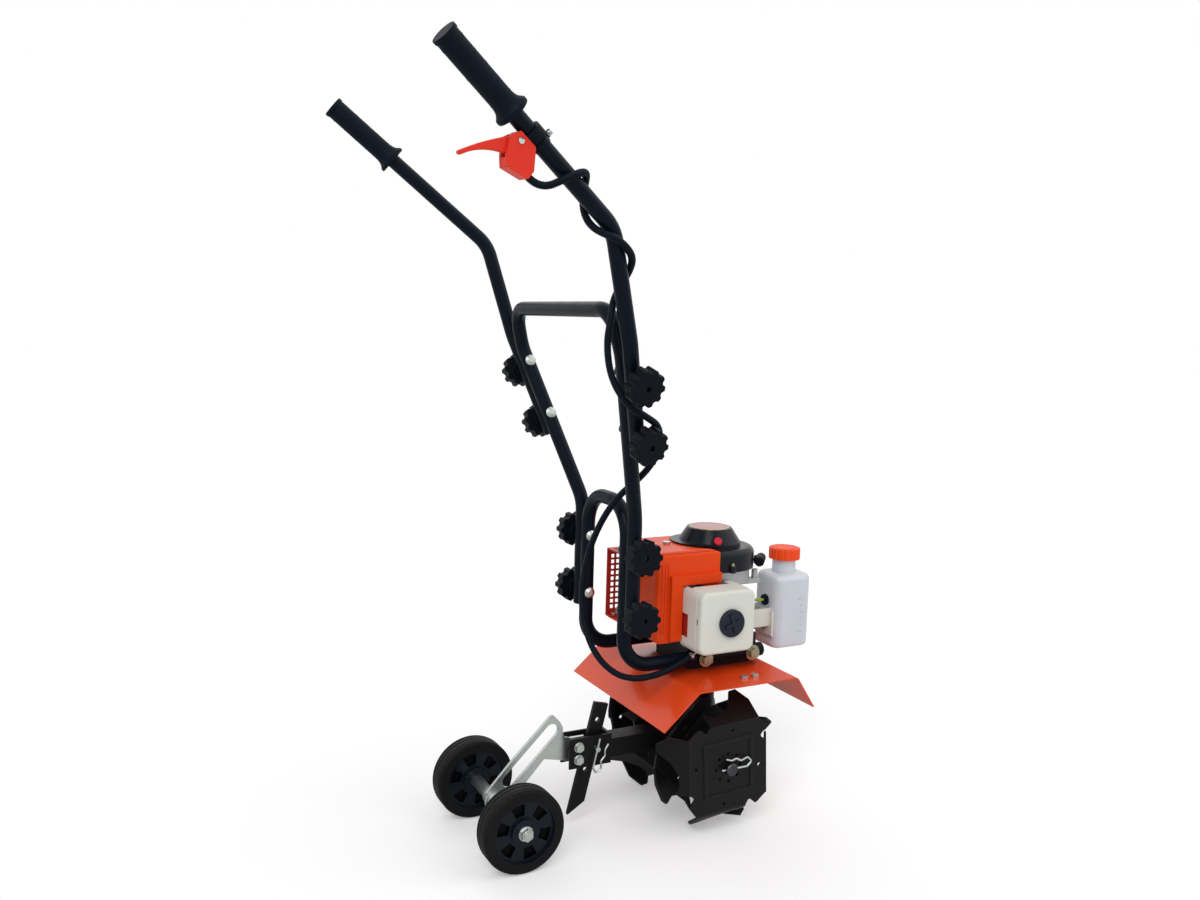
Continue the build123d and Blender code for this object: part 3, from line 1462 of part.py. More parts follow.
# Engine shroud over the cylinder
step_face = -shroud_half - step_out
with BuildPart() as shroud:
    block((shroud_rear, shroud_front), across(shroud_half), (shroud_bottom_z, shroud_top_z))
    rear_edges = shroud.faces().sort_by(Axis.X)[0].edges()
    top_edges = shroud.faces().sort_by(Axis.Z)[-1].edges().filter_by(Axis.X)
    fillet(rear_edges + top_edges, shroud_round)
    step_x = (shroud_rear + step_start, shroud_front)
    block(step_x, (step_face, -shroud_half + pass_through), (step_z, step_top_z))
    pocket_x = (filter_rear - step_clear, filter_front)
    pocket_z = (step_z - pass_through, filter_top_z + step_clear)
    block(pocket_x, (step_face - pass_through, -shroud_half), pocket_z, Mode.SUBTRACT)
    inside_x = (shroud_rear + shroud_back_wall, shroud_front + pass_through)
    inside_z = (shroud_bottom_z - pass_through, shroud_top_z - shroud_wall)
    block(inside_x, across(shroud_half - shroud_wall), inside_z, Mode.SUBTRACT)
    post_h = shroud_top_z - pad_z - shroud_wall / 2
    rod((post_x, post_place[1], pad_z + seat_gap), (0, 0, 1), post_boss_r, post_h)
    shelf_z = (shroud_bottom_z, shroud_bottom_z + shelf_thick)
    block(shelf_x, (shroud_half - pass_through, guard_y), shelf_z)
    for x in guard_screws:
        place = (axle_x + x, guard_y - guard_screw_inset, shroud_bottom_z - pass_through)
        rod(place, (0, 0, 1), small_bolt_r + hole_clear, 2 * shelf_thick, Mode.SUBTRACT)
    wall_y = (shroud_half - window_cut, shroud_half + pass_through)
    block(intake_window[0], (-wall_y[1], -wall_y[0]), intake_window[1], Mode.SUBTRACT)
    block(exhaust_window[0], wall_y, exhaust_window[1], Mode.SUBTRACT)
    starter_cut = (crank_x, 0, crank_case_top_z - 2 * starter_space)
    rod(starter_cut, (0, 0, 1), starter_r + starter_space, shroud_top_z, Mode.SUBTRACT)
    for index in range(louvre_count):
        x = louvre_start + louvre_pitch * index
        louvre_y = (-shroud_half - louvre_depth, -shroud_half + louvre_depth)
        block((x, x + louvre_width), louvre_y, louvre_z, Mode.SUBTRACT)
    rod((post_x, post_place[1], pad_z), (0, 0, 1), small_bolt_r + hole_clear, shroud_top_z, Mode.SUBTRACT)
save(shroud, "shroud")


# Muffler and its guard
with BuildPart() as muffler:
    block(muffler_x, muffler_y, muffler_z)
    fillet(muffler.edges().filter_by(Axis.Y), muffler_round)
    block(*[within(limits, muffler_wall) for limits in (muffler_x, muffler_y, muffler_z)], Mode.SUBTRACT)
    neck = muffler_y[0] - exhaust_reach
    rod((exhaust_x, exhaust_reach + seat_gap, cylinder_z), (0, 1, 0), muffler_neck_r, neck)
    rod((exhaust_x, exhaust_reach, cylinder_z), (0, 1, 0), exhaust_r, neck + 2 * muffler_wall, Mode.SUBTRACT)
    outlet = (axle_x + muffler_x[0] - pass_through, sum(muffler_y) / 2, muffler_z[0] + outlet_rise)
    rod(outlet, (1, 0, 0), outlet_r, 2 * muffler_wall, Mode.SUBTRACT)
save(muffler, "muffler")

guard_foot_z = shroud_bottom_z + shelf_thick + seat_gap
guard_x = (guard_rear, guard_front)
with BuildPart() as muffler_guard:
    block(guard_x, (guard_y, guard_y + guard_wall), (guard_foot_z, guard_top_z))
    block(guard_x, (guard_inner_y, guard_y + pass_through), (guard_top_z - guard_wall, guard_top_z))
    foot_y = (guard_y - guard_foot_depth, guard_y + pass_through)
    block(guard_x, foot_y, (guard_foot_z, guard_foot_z + guard_wall))
    hole_x = axle_x + sum(guard_x) / 2
    with BuildSketch(side_plane(hole_x, guard_y, (guard_foot_z + guard_top_z) / 2)):
        with GridLocations(guard_pitch, guard_pitch, *guard_holes):
            Rectangle(guard_hole, guard_hole)
    extrude(amount=2 * guard_wall, both=True, mode=Mode.SUBTRACT)
    with BuildSketch(Plane(origin=(hole_x, (guard_inner_y + guard_y) / 2, guard_top_z))):
        with GridLocations(guard_pitch, guard_pitch, guard_holes[0], guard_top_rows):
            Rectangle(guard_hole, guard_hole)
    extrude(amount=-2 * guard_wall, mode=Mode.SUBTRACT)
    for x in guard_screws:
        place = (axle_x + x, guard_y - guard_screw_inset, guard_foot_z - pass_through)
        rod(place, (0, 0, 1), small_bolt_r + hole_clear, 2 * shelf_thick, Mode.SUBTRACT)
save(muffler_guard, "muffler_guard")


# Carburettor and air filter
carb_face_y = filter_floor_y + seat_gap
with BuildPart() as carburettor:
    carb_x, carb_z = carb_centre
    seat_y = -port_reach - seat_gap
    half_x, half_z = carb_half
    block((carb_x - half_x, carb_x + half_x), (carb_face_y, seat_y), (carb_z - half_z, carb_z + half_z))
    fillet(carburettor.edges().filter_by(Axis.Y), carb_round)
    half_x, half_z = carb_flange_half
    flange_y = (-port_reach - carb_flange_thick, seat_y)
    block((carb_x - half_x, carb_x + half_x), flange_y, (carb_z - half_z, carb_z + half_z))
    rod((port_x, bowl_y, carb_z - bowl_drop), (0, 0, 1), bowl_r, bowl_h)
    rod((port_x + inlet_start, inlet_y, carb_z), (1, 0, 0), inlet_r, inlet_length)
    rod((port_x, 0, carb_z), (0, -1, 0), port_r, -filter_face_y, Mode.SUBTRACT)
save(carburettor, "carburettor")

filter_mid = ((filter_rear + filter_front) / 2, (filter_bottom_z + filter_top_z) / 2)
filter_w = filter_front - filter_rear
filter_hgt = filter_top_z - filter_bottom_z


def filter_slab(y_start, y_end, inset, mode=Mode.ADD):
    """Rounded slab of the filter's outline between two depths."""
    with BuildSketch(side_plane(axle_x + filter_mid[0], y_start, filter_mid[1])) as outline:
        RectangleRounded(filter_w - 2 * inset, filter_hgt - 2 * inset, filter_corner_r - inset)
    extrude(outline.sketch, amount=y_start - y_end, mode=mode)


stud_x = axle_x + filter_stud[0]
stud_z = filter_stud[1]
with BuildPart() as filter_base:
    filter_slab(filter_inner_y, filter_split_y, 0)
    filter_slab(filter_inner_y + pass_through, filter_floor_y, filter_wall, Mode.SUBTRACT)
    filter_slab(filter_floor_y - filter_wall, filter_split_y - pass_through, filter_wall, Mode.SUBTRACT)
    rear_wall = (filter_rear - pass_through, filter_rear + filter_wall + pass_through)
    block(rear_wall, side_window[0], side_window[1], Mode.SUBTRACT)
    top_wall = (filter_top_z - filter_wall - pass_through, filter_top_z + pass_through)
    block(top_window[0], top_window[1], top_wall, Mode.SUBTRACT)
    port_start = (port_x, filter_floor_y + pass_through, cylinder_z)
    rod(port_start, to_right, port_r, 2 * filter_wall, Mode.SUBTRACT)
    stud_length = filter_floor_y - filter_face_y + stud_end
    rod((stud_x, filter_floor_y, stud_z), (0, -1, 0), filter_stud_r, stud_length)
save(filter_base, "filter_base")

with BuildPart() as filter_element:
    element_back_y = filter_floor_y - filter_wall - seat_gap
    filter_slab(element_back_y, filter_face_y + element_front, filter_wall + element_inset)
    rod((stud_x, filter_floor_y, stud_z), (0, -1, 0), filter_stud_r + hole_clear, stud_length, Mode.SUBTRACT)
save(filter_element, "filter_element")

with BuildPart() as filter_cover:
    filter_slab(filter_split_y - seat_gap, filter_face_y, cover_inset)
    fillet(filter_cover.faces().sort_by(Axis.Y)[0].edges(), filter_face_round)
    filter_slab(filter_split_y, filter_face_y + filter_wall, filter_wall + pass_through, Mode.SUBTRACT)
    rod((stud_x, filter_split_y, stud_z), (0, -1, 0), filter_stud_r + hole_clear, stud_length, Mode.SUBTRACT)
    latch_x = (filter_rear - pass_through, filter_rear + cover_inset + filter_latch_depth)
    latch_edge = filter_split_y - seat_gap - filter_latch_in
    latch_y = (latch_edge - filter_latch[0], latch_edge)
    latch_z = (filter_latch_z - filter_latch[1] / 2, filter_latch_z + filter_latch[1] / 2)
    block(latch_x, latch_y, latch_z, Mode.SUBTRACT)
save(filter_cover, "filter_cover")

with BuildPart() as filter_knob:
    knob_back_y = filter_face_y - face_clear
    knob_face_y = knob_back_y - filter_knob_h
    rod((stud_x, knob_back_y, stud_z), to_right, filter_knob_r, filter_knob_h)
    fillet(filter_knob.edges().sort_by(Axis.Y)[0], filter_knob_round)
    with BuildSketch(side_plane(stud_x, knob_face_y, stud_z)):
        for turn in finger_bar_turns:
            Rectangle(*finger_bar, rotation=turn)
    extrude(amount=finger_bar_h)
    bore_start = (stud_x, filter_face_y, stud_z)
    rod(bore_start, to_right, filter_stud_r + running_clear, filter_knob_bore, Mode.SUBTRACT)
save(filter_knob, "filter_knob")


# Fuel tank, cap, line and bracket
tank_x = axle_x + tank_centre[0]
tank_y = tank_centre[1]


def bottle(inset, neck_end):
    """Rounded tank body with its neck, shrunk by an inset."""
    with BuildPart() as body:
        with Locations((tank_x, tank_y, tank_bottom_z + inset)):
            body_h = tank_shoulder_z - tank_bottom_z - 2 * inset
            Box(tank_length - 2 * inset, tank_depth - 2 * inset, body_h, align=UP)
        fillet(body.edges().filter_by(Axis.Z), tank_corner_r - inset)
        fillet(body.edges().group_by(Axis.Z)[-1], shoulder_round - inset)
        fillet(body.edges().group_by(Axis.Z)[0], foot_round - inset)
        neck_z = tank_shoulder_z - neck_sink
        rod((tank_x, tank_y, neck_z), (0, 0, 1), neck_r - inset, neck_end - neck_z)
    return body.part


tank_rear = tank_x - tank_length / 2
with BuildPart() as fuel_tank:
    add(bottle(0, neck_top_z))
    add(bottle(tank_wall, neck_top_z + pass_through), mode=Mode.SUBTRACT)
    for y, z in tank_screws:
        rod((tank_rear, y, z), (1, 0, 0), tank_boss_r, tank_boss_depth)
        place = (tank_rear - pass_through, y, z)
        rod(place, (1, 0, 0), small_bolt_r + hole_clear, tank_screw_depth + pass_through, Mode.SUBTRACT)
    port_hole = (tank_rear - pass_through, *fuel_port)
    rod(port_hole, (1, 0, 0), grommet_r + hole_clear, tank_wall + grommet_depth, Mode.SUBTRACT)
save(fuel_tank, "fuel_tank")

with BuildPart() as fuel_cap:
    with BuildSketch(Plane(origin=(tank_x, tank_y, cap_bottom_z))):
        Circle(cap_r)
        with PolarLocations(cap_r + cap_flute_out, cap_flutes):
            Circle(cap_flute_r, mode=Mode.SUBTRACT)
    extrude(amount=cap_h)
    chamfer(fuel_cap.faces().sort_by(Axis.Z)[-1].edges(), cap_bevel)
    socket_h = neck_top_z + face_clear - cap_bottom_z
    rod((tank_x, tank_y, cap_bottom_z), (0, 0, 1), neck_r + running_clear, socket_h, Mode.SUBTRACT)
save(fuel_cap, "fuel_cap")

inlet_end = port_x + inlet_start + inlet_length + line_gap
line_points = [
    Vector(tank_rear - line_start, *fuel_port),
    Vector(axle_x + 112, -19, 336),
    Vector(axle_x + 95, -37, 340),
    Vector(axle_x + 75, -50, 344),
    Vector(axle_x + 52, -57, 349),
    Vector(axle_x + 32, -61, 354),
    Vector(axle_x + 14, -68.5, 359.5),
    Vector(axle_x - 3, inlet_y, cylinder_z),
    Vector(inlet_end, inlet_y, cylinder_z),
]
with BuildPart() as fuel_line:
    with BuildLine() as line_path:
        FilletPolyline(*line_points, radius=cord_radii(line_points))
    with BuildSketch(Plane(origin=line_path.line @ 0, z_dir=line_path.line % 0)):
        Circle(line_r)
        Circle(line_bore_r, mode=Mode.SUBTRACT)
    sweep(path=line_path.wire())
    port = Vector(tank_rear, *fuel_port)
    inner_end = port + Vector(grommet_depth, 0, 0)
    rod(inner_end, (-1, 0, 0), grommet_r, grommet_depth + grommet_rim_h / 2)
    rod(port - Vector(seat_gap, 0, 0), (-1, 0, 0), grommet_rim_r, grommet_rim_h)
    rod(inner_end, (-1, 0, 0), line_bore_r, grommet_depth + line_start + 2 * pass_through, Mode.SUBTRACT)
save(fuel_line, "fuel_line")

with BuildPart() as tank_bracket:
    tank_face = tank_centre[0] - tank_length / 2 - seat_gap
    bracket_face = boss_face + seat_gap
    block((bracket_face, boss_face + bracket_plate), boss_y, bracket_z)
    block((bracket_face, tank_face), (boss_y[0], boss_y[0] + bracket_plate), bracket_web_z)
    block((bracket_face, tank_face), (boss_y[1] - bracket_plate, boss_y[1]), bracket_web_z)
    block((tank_face - bracket_plate, tank_face), within(boss_y, -bracket_foot_out), bracket_foot_z)
    for y, z in boss_screws:
        place = (axle_x + boss_face - pass_through, y, z)
        rod(place, (1, 0, 0), small_bolt_r + hole_clear, 2 * bracket_plate + pass_through, Mode.SUBTRACT)
    for y, z in tank_screws:
        place = (tank_rear - 2 * bracket_plate, y, z)
        rod(place, (1, 0, 0), small_bolt_r + hole_clear, 2 * bracket_plate + pass_through, Mode.SUBTRACT)
save(tank_bracket, "tank_bracket")


# Bolts, nuts, pins and clips that hold the rest together
def screw(seat, way, radius, depth, head_r, head_h):
    """Round-headed screw: head on its seat, shank back into the work."""
    rod(Vector(seat) - way * depth, way, radius, depth)
    rod(seat, way, head_r, head_h)


conduit_end = conduit_points[-1]
conduit_run = (conduit_points[-1] - conduit_points[-2]).normalized()
with BuildPart() as small_fasteners:
    for place in bolt_ring(flange_bolt_circle / 2, flange_z):
        depth = flange_h + sheet + clutch_floor - screw_end_gap
        screw(place, up * -1, flange_bolt_r, depth, flange_head_r, flange_head_h)
    for x in fender_bolt_places:
        for side in (RIGHT, LEFT):
            seat = Vector(axle_x + x, side * fender_bolt_y, fender_top_z)
            screw(seat, up, small_bolt_r, sheet + fender_bolt_tail, fender_head_r, fender_head_h)
            hex_head(seat - up * sheet, up * -1, small_nut_r, small_nut_h)
    for x, z in case_screws:
        depth = 2 * case_half - screw_end_gap
        screw((x, -case_half, z), to_right, small_bolt_r, depth, small_head_r, small_head_h)
    for side in (RIGHT, LEFT):
        seat = (axle_x + arm_face - arm_foot_thick, side * arm_bolt_y, arm_z)
        depth = arm_foot_thick + arm_bolt_depth - screw_end_gap
        screw(seat, ahead * -1, small_bolt_r, depth, small_head_r, small_head_h)
    for x, z in bracket_bolts:
        seat = Vector(axle_x + x, -arm_half_width, z)
        depth = 2 * arm_half_width + bracket_bolt_tail
        screw(seat, to_right, bracket_bolt_r, depth, bracket_washer_r, washer_h)
        hex_head(seat + to_right * washer_h, to_right, bracket_head_r, bracket_head_h)
        hex_head(Vector(axle_x + x, arm_half_width, z), to_right * -1, bracket_head_r, bracket_nut_h)
        for side in (RIGHT, LEFT):
            start = Vector(axle_x + x, side * (bracket_thick / 2 + seat_gap), z)
            spacer_h = arm_half_width - arm_wall - bracket_thick / 2 - 2 * seat_gap
            rod(start, (0, side, 0), spacer_r, spacer_h)
    pin_at = Vector(axle_x + bar_centre(bar_pin_z), -arm_half_width - pin_out, bar_pin_z)
    pin_length = 2 * arm_half_width + pin_out + pin_nose + pin_head_h
    rod(pin_at + to_right * pin_nose, (0, 1, 0), bar_hole_r, pin_length)
    rod(pin_at - to_right * (2 * arm_half_width + pin_out), (0, 1, 0), pin_head_r, pin_head_h)
    clip_way = Vector(-sin(radians(bar_lean)), 0, -cos(radians(bar_lean)))
    rod(pin_at - clip_way * 2 * bar_hole_r, clip_way, clip_wire_r + hole_clear, 4 * bar_hole_r, Mode.SUBTRACT)
    add(hairpin(Plane(origin=pin_at, x_dir=clip_way, z_dir=(0, -1, 0))))
    for side in (RIGHT, LEFT):
        way = Vector(0, side, 0)
        seat = wheel_centre + way * (wheel_outside + face_clear)
        rod(seat, way, washer_r, washer_h)
        hex_head(seat + way * washer_h, way, nut_r, nut_h)
        rod(seat, way, wheel_shaft_r + running_clear, washer_h + nut_h, Mode.SUBTRACT)
    for y, z in boss_screws:
        seat = (axle_x + boss_face + bracket_plate, y, z)
        screw(seat, ahead, small_bolt_r, boss_screw_depth, small_head_r, small_head_h)
    for y, z in tank_screws:
        seat = (tank_rear - seat_gap - bracket_plate, y, z)
        screw(seat, ahead * -1, small_bolt_r, tank_screw_length, small_head_r, small_head_h)
    post_seat = (post_x, post_place[1], shroud_top_z)
    screw(post_seat, up, small_bolt_r, shroud_top_z - pad_z + post_screw_depth, fender_head_r, small_head_h)
    for x in guard_screws:
        seat = (axle_x + x, guard_y - guard_screw_inset, guard_foot_z + guard_wall)
        screw(seat, up, small_bolt_r, guard_wall + shelf_thick, small_head_r, fender_head_h)
    for side in (RIGHT, LEFT):
        start = on_throttle(*lever_pivot, side * (housing_thick / 2))
        rod(start, throttle_out * side, pivot_head_r, pivot_head_h)
        rod(start, throttle_out * -side, lever_pin_r, housing_thick / 2)
    with BuildSketch(Plane(origin=on_throttle(clamp_at - clamp_width / 2, 0), z_dir=throttle_way)):
        Circle(tube_r + hole_clear + clamp_wall)
        Circle(tube_r + hole_clear, mode=Mode.SUBTRACT)
    extrude(amount=clamp_width)
    with BuildSketch(throttle_plane):
        with Locations((clamp_at, tube_r + clamp_ear_rise)):
            Rectangle(clamp_ear_width, clamp_ear_h)
    extrude(amount=clamp_ear_half, both=True)
    rod(conduit_end - conduit_run * ferrule_depth, conduit_run, conduit_bore_r - running_clear, ferrule_depth)
    rod(conduit_end, conduit_run, conduit_r, ferrule_rim)
    rod(conduit_end, conduit_run, cable_r, cable_length)
save(small_fasteners, "small_fasteners")
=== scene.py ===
# %% [markdown]
# The mini tiller is already a set of solid pieces in metres, standing on the floor at Z 0.
# Loading them first gives every later piece a fixed frame to sit on.

# %% Load the solids
import bmesh
import bpy
from math import cos, pi, radians, sin
from mathutils import Matrix, Vector


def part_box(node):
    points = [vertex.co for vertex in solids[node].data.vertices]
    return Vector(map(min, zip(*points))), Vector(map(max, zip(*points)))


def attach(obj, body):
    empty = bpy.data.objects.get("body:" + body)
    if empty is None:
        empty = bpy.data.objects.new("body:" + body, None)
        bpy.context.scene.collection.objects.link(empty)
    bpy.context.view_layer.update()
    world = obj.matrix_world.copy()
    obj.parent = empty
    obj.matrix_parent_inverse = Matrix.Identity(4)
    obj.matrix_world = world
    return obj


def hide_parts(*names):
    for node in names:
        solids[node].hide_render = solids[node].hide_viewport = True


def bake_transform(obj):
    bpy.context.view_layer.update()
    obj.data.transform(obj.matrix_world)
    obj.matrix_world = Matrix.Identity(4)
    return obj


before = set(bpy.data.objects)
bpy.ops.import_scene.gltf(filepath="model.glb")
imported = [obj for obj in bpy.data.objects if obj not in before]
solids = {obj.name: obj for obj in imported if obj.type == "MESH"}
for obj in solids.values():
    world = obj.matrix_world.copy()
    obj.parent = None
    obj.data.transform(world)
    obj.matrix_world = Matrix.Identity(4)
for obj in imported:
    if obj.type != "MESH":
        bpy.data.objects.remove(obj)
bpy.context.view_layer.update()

# %% [markdown]
# A finish is a small network of shader nodes. Wiring it by hand is slow to read, so one class
# wraps a socket and lets ordinary arithmetic add the Math nodes. Reflected forms are needed
# for lines such as 1 - mask.

# %% A socket that does arithmetic
class Flow:
    """A number, colour or vector that leaves one shader node for the next."""

    def __init__(self, network, socket):
        self.network = network
        self.socket = socket

    def math(self, operation, first, second=0.0):
        return self.network.node("ShaderNodeMath", {"operation": operation}, {0: first, 1: second})

    def __add__(self, other):
        return self.math("ADD", self, other)

    def __radd__(self, other):
        return self.math("ADD", other, self)

    def __sub__(self, other):
        return self.math("SUBTRACT", self, other)

    def __rsub__(self, other):
        return self.math("SUBTRACT", other, self)

    def __mul__(self, other):
        return self.math("MULTIPLY", self, other)

    def __rmul__(self, other):
        return self.math("MULTIPLY", other, self)

    def __pow__(self, other):
        return self.math("POWER", self, other)


print("sockets can be added, subtracted, multiplied and raised")

# %% [markdown]
# Every other node comes from one method. It takes the node's type, its settings and what goes
# into its sockets, and gives back the output as a Flow. A Finish is such a network that starts
# with a Principled shader, which suits paint, plastic, rubber and metal alike.

# %% Networks and finishes
class Network:
    """A tree of shader nodes."""

    def __init__(self, tree):
        self.tree = tree

    def node(self, kind, settings, inputs, output=0):
        made = self.tree.nodes.new(kind)
        for key, value in settings.items():
            setattr(made, key, value)
        for key, value in inputs.items():
            self.link(made.inputs[key], value)
        return Flow(self, made.outputs[output])

    def link(self, socket, value):
        if isinstance(value, Flow):
            self.tree.links.new(value.socket, socket)
        else:
            socket.default_value = value


class Finish(Network):
    """One material: a Principled shader with the nodes that feed it."""

    def __init__(self, name, **steady):
        self.material = bpy.data.materials.new(name)
        self.material.use_nodes = True
        super().__init__(self.material.node_tree)
        self.shader = self.tree.nodes["Principled BSDF"]
        self.set(**steady)

    def set(self, **inputs):
        for key, value in inputs.items():
            name = key.replace("_", " ").title().replace("Ior", "IOR")
            if isinstance(value, tuple) and len(value) == 3:
                value = (*value, 1)
            self.link(self.shader.inputs[name], value)
        return self


print("a finish is a Principled shader with its own nodes")

# %% [markdown]
# Real surfaces vary a little everywhere, so each finish below starts from the same few
# patterns: a soft cloud, a fine grain, and a mask of the edges. The edge mask compares the
# face with the rounded normal of a Bevel node, which also softens every machined edge.

# %% Patterns shared by the finishes
EDGE_START, EDGE_FULL = 0.02, 0.25


def place(finish):
    """Where a point lies on the machine, in metres."""
    return finish.node("ShaderNodeTexCoord", {}, {}, "Object")


def cloud(finish, scale, detail=3.0):
    inputs = {"Vector": place(finish), "Scale": scale, "Detail": detail}
    return finish.node("ShaderNodeTexNoise", {}, inputs)


def along(finish, way):
    """How far a point lies along a direction."""
    settings = {"operation": "DOT_PRODUCT"}
    return finish.node("ShaderNodeVectorMath", settings, {0: place(finish), 1: tuple(way)}, "Value")


def off_axis(finish, spot, way):
    """How far a point lies from a straight axis."""
    kind = "ShaderNodeVectorMath"
    moved = finish.node(kind, {"operation": "SUBTRACT"}, {0: place(finish), 1: tuple(spot)})
    crossed = finish.node(kind, {"operation": "CROSS_PRODUCT"}, {0: moved, 1: tuple(way)})
    return finish.node(kind, {"operation": "LENGTH"}, {0: crossed}, "Value")


def rise(finish, value, low, high):
    """0 below the first limit, 1 above the second."""
    inputs = {"Value": value, "From Min": low, "From Max": high, "To Min": 0.0, "To Max": 1.0}
    return finish.node("ShaderNodeMapRange", {}, inputs)


def rounded(finish, radius):
    return finish.node("ShaderNodeBevel", {"samples": 4}, {"Radius": radius})


def edge_mask(finish, radius):
    face = finish.node("ShaderNodeNewGeometry", {}, {}, "Normal")
    settings = {"operation": "DOT_PRODUCT"}
    alike = finish.node("ShaderNodeVectorMath", settings, {0: rounded(finish, radius), 1: face}, "Value")
    return rise(finish, 1 - alike, EDGE_START, EDGE_FULL)


def tint(finish, mask, first, second):
    """A colour that goes from the first to the second as the mask goes from 0 to 1."""
    first = first if isinstance(first, Flow) else (*first, 1)
    settings = {"data_type": "RGBA", "blend_type": "MIX", "clamp_factor": True}
    return finish.node("ShaderNodeMix", settings, {0: mask, 6: first, 7: (*second, 1)}, 2)


def relief(finish, height, strength, depth, radius):
    inputs = {"Height": height, "Strength": strength, "Distance": depth}
    inputs["Normal"] = rounded(finish, radius)
    return finish.node("ShaderNodeBump", {}, inputs)


print("patterns: cloud, along, off_axis, rise, edge_mask, tint, relief")

# %% [markdown]
# Powder coat on the tubes is nearly black with a blue cast. It has a fine orange-peel surface
# that breaks up the highlights, so a small bump matters more here than any change of colour.
# The same recipe serves every painted or moulded surface: two close colours in soft patches, a
# roughness that drifts, the peel, and on some pieces paint that is rubbed thin at the edges.

# %% Paint and moulded plastic
PATCH_SCALE, RUB_SCALE, GLOSS_SCALE = 9.0, 160.0, 45.0
RUB_WIDTH, RUB_FORCE = 0.0014, 1.1
FINE_DEPTH, SOFT_EDGE, CRISP_EDGE = 0.0002, 0.0009, 0.0006


def painted(
    name, dark, light, rough, peel=0.25, wear=None, coat=0.0, peel_scale=700.0, shine=0.18, drift=0.14
):
    finish = Finish(name, coat_roughness=0.12, specular_ior_level=shine)
    colour = tint(finish, cloud(finish, PATCH_SCALE), dark, light)
    if wear:
        rubbed = edge_mask(finish, RUB_WIDTH) * (cloud(finish, RUB_SCALE, 6.0) ** 2.0) * RUB_FORCE
        colour = tint(finish, rubbed, colour, wear)
    finish.set(base_color=colour, roughness=rough + drift * cloud(finish, GLOSS_SCALE), coat_weight=coat)
    finish.set(normal=relief(finish, cloud(finish, peel_scale, 2.0), peel, FINE_DEPTH, SOFT_EDGE))
    return finish.material


NIGHT = (0.0012, 0.004, 0.009), (0.0025, 0.006, 0.013)
tube_paint = painted("tube_paint", *NIGHT, 0.26, 0.18, shine=0.09)
print("made", tube_paint.name)

# %% [markdown]
# The engine cowl is moulded orange plastic and the fender is painted sheet steel. Both are the
# same bright orange; the sheet is smoother and glossier, and its gloss hardly drifts. A clear
# coat on the sheet gives the second, sharper reflection that sprayed paint has.

# %% Orange cowl, fender and cap
FINE = 1500.0
COWL = (0.74, 0.052, 0.003), (0.79, 0.062, 0.004)
SPRAYED = (0.72, 0.056, 0.008), (0.76, 0.064, 0.010)
CAP = (0.82, 0.064, 0.009), (0.87, 0.076, 0.012)
cowl_orange = painted("cowl_orange", *COWL, 0.28, 0.12, peel_scale=FINE)
fender_paint = painted("fender_paint", *SPRAYED, 0.24, 0.06, coat=0.2, peel_scale=FINE, drift=0.03)
cap_orange = painted("cap_orange", *CAP, 0.36, 0.15, peel_scale=FINE)
print("made", cowl_orange.name, fender_paint.name, cap_orange.name)

# %% [markdown]
# Black plastic, rubber and steel must not look alike. The knobs are dull and grained, the
# tines are satin paint with bright rubbed edges, and the rubber is the dullest of all. A low
# specular level keeps them black in a white room.

# %% The blacks
def black(name, dark, light, rough, peel, scale, wear=None, shine=0.09):
    return painted(name, dark, light, rough, peel, wear=wear, peel_scale=scale, shine=shine)


DULL_EDGE, GREY_EDGE, BARE_EDGE = (0.02,) * 3, (0.06,) * 3, (0.14, 0.13, 0.12)
COAL = (0.0012, 0.0022, 0.005), (0.003, 0.004, 0.008)
SOOT = (0.004, 0.004, 0.005), (0.008, 0.008, 0.009)
# This deeper black is painted shade for the sunk panels of the wheel hubs, which are the hub's own
# plastic.
RECESS_SHADE_BLACK = (0.0006, 0.0008, 0.0015), (0.001, 0.0013, 0.002)
BLUE_BLACK = (0.006, 0.007, 0.018), (0.010, 0.012, 0.028)
knob_plastic = black("knob_plastic", *COAL, 0.46, 0.5, 1800.0, DULL_EDGE)
dial_plastic = black("dial_plastic", *BLUE_BLACK, 0.30, 0.2, FINE, shine=0.25)
tine_paint = black("tine_paint", *SOOT, 0.32, 0.35, 420.0, BARE_EDGE, shine=0.16)
housing_paint = black("housing_paint", *SOOT, 0.34, 0.4, 500.0, GREY_EDGE, shine=0.13)
conduit_plastic = black("conduit_plastic", *NIGHT, 0.38, 0.2, 1200.0)
hub_plastic = black("hub_plastic", *NIGHT, 0.18, 0.1, 1200.0, shine=0.2)
recess_shade_plastic = black("recess_shade_plastic", *RECESS_SHADE_BLACK, 0.22, 0.1, 1200.0, shine=0.06)
soft_rubber = black("soft_rubber", *NIGHT, 0.50, 0.25, 1100.0)
print("made eight blacks")

# %% [markdown]
# Red parts and the pale filter box are moulded or sprayed too, so they use the same recipe.
# The muffler guard is a hot, thin sheet whose paint dulls and wears at the punched holes.

# %% Reds and whites
GUARD_RED = (0.54, 0.026, 0.021), (0.62, 0.036, 0.028)
# This dark red is painted shade: it stands for the orange cowl wall in shade behind the filter box
# windows.
WINDOW_SHADE_RED = (0.36, 0.018, 0.014), (0.42, 0.024, 0.018)
LEVER_RED = (0.70, 0.030, 0.014), (0.76, 0.040, 0.018)
BUTTON_RED = (0.52, 0.012, 0.030), (0.60, 0.020, 0.040)
IVORY = (0.64, 0.65, 0.59), (0.68, 0.69, 0.63)
guard_paint = painted("guard_paint", *GUARD_RED, 0.32, 0.2, (0.30, 0.10, 0.08))
window_shade_red = painted("window_shade_red", *WINDOW_SHADE_RED, 0.40, 0.2, peel_scale=FINE)
lever_plastic = painted("lever_plastic", *LEVER_RED, 0.30, 0.15, peel_scale=FINE)
button_plastic = painted("button_plastic", *BUTTON_RED, 0.35, 0.15, peel_scale=FINE)
filter_plastic = painted("filter_plastic", *IVORY, 0.36, 0.15, peel_scale=FINE)
print("made", guard_paint.name, window_shade_red.name, lever_plastic.name, filter_plastic.name)

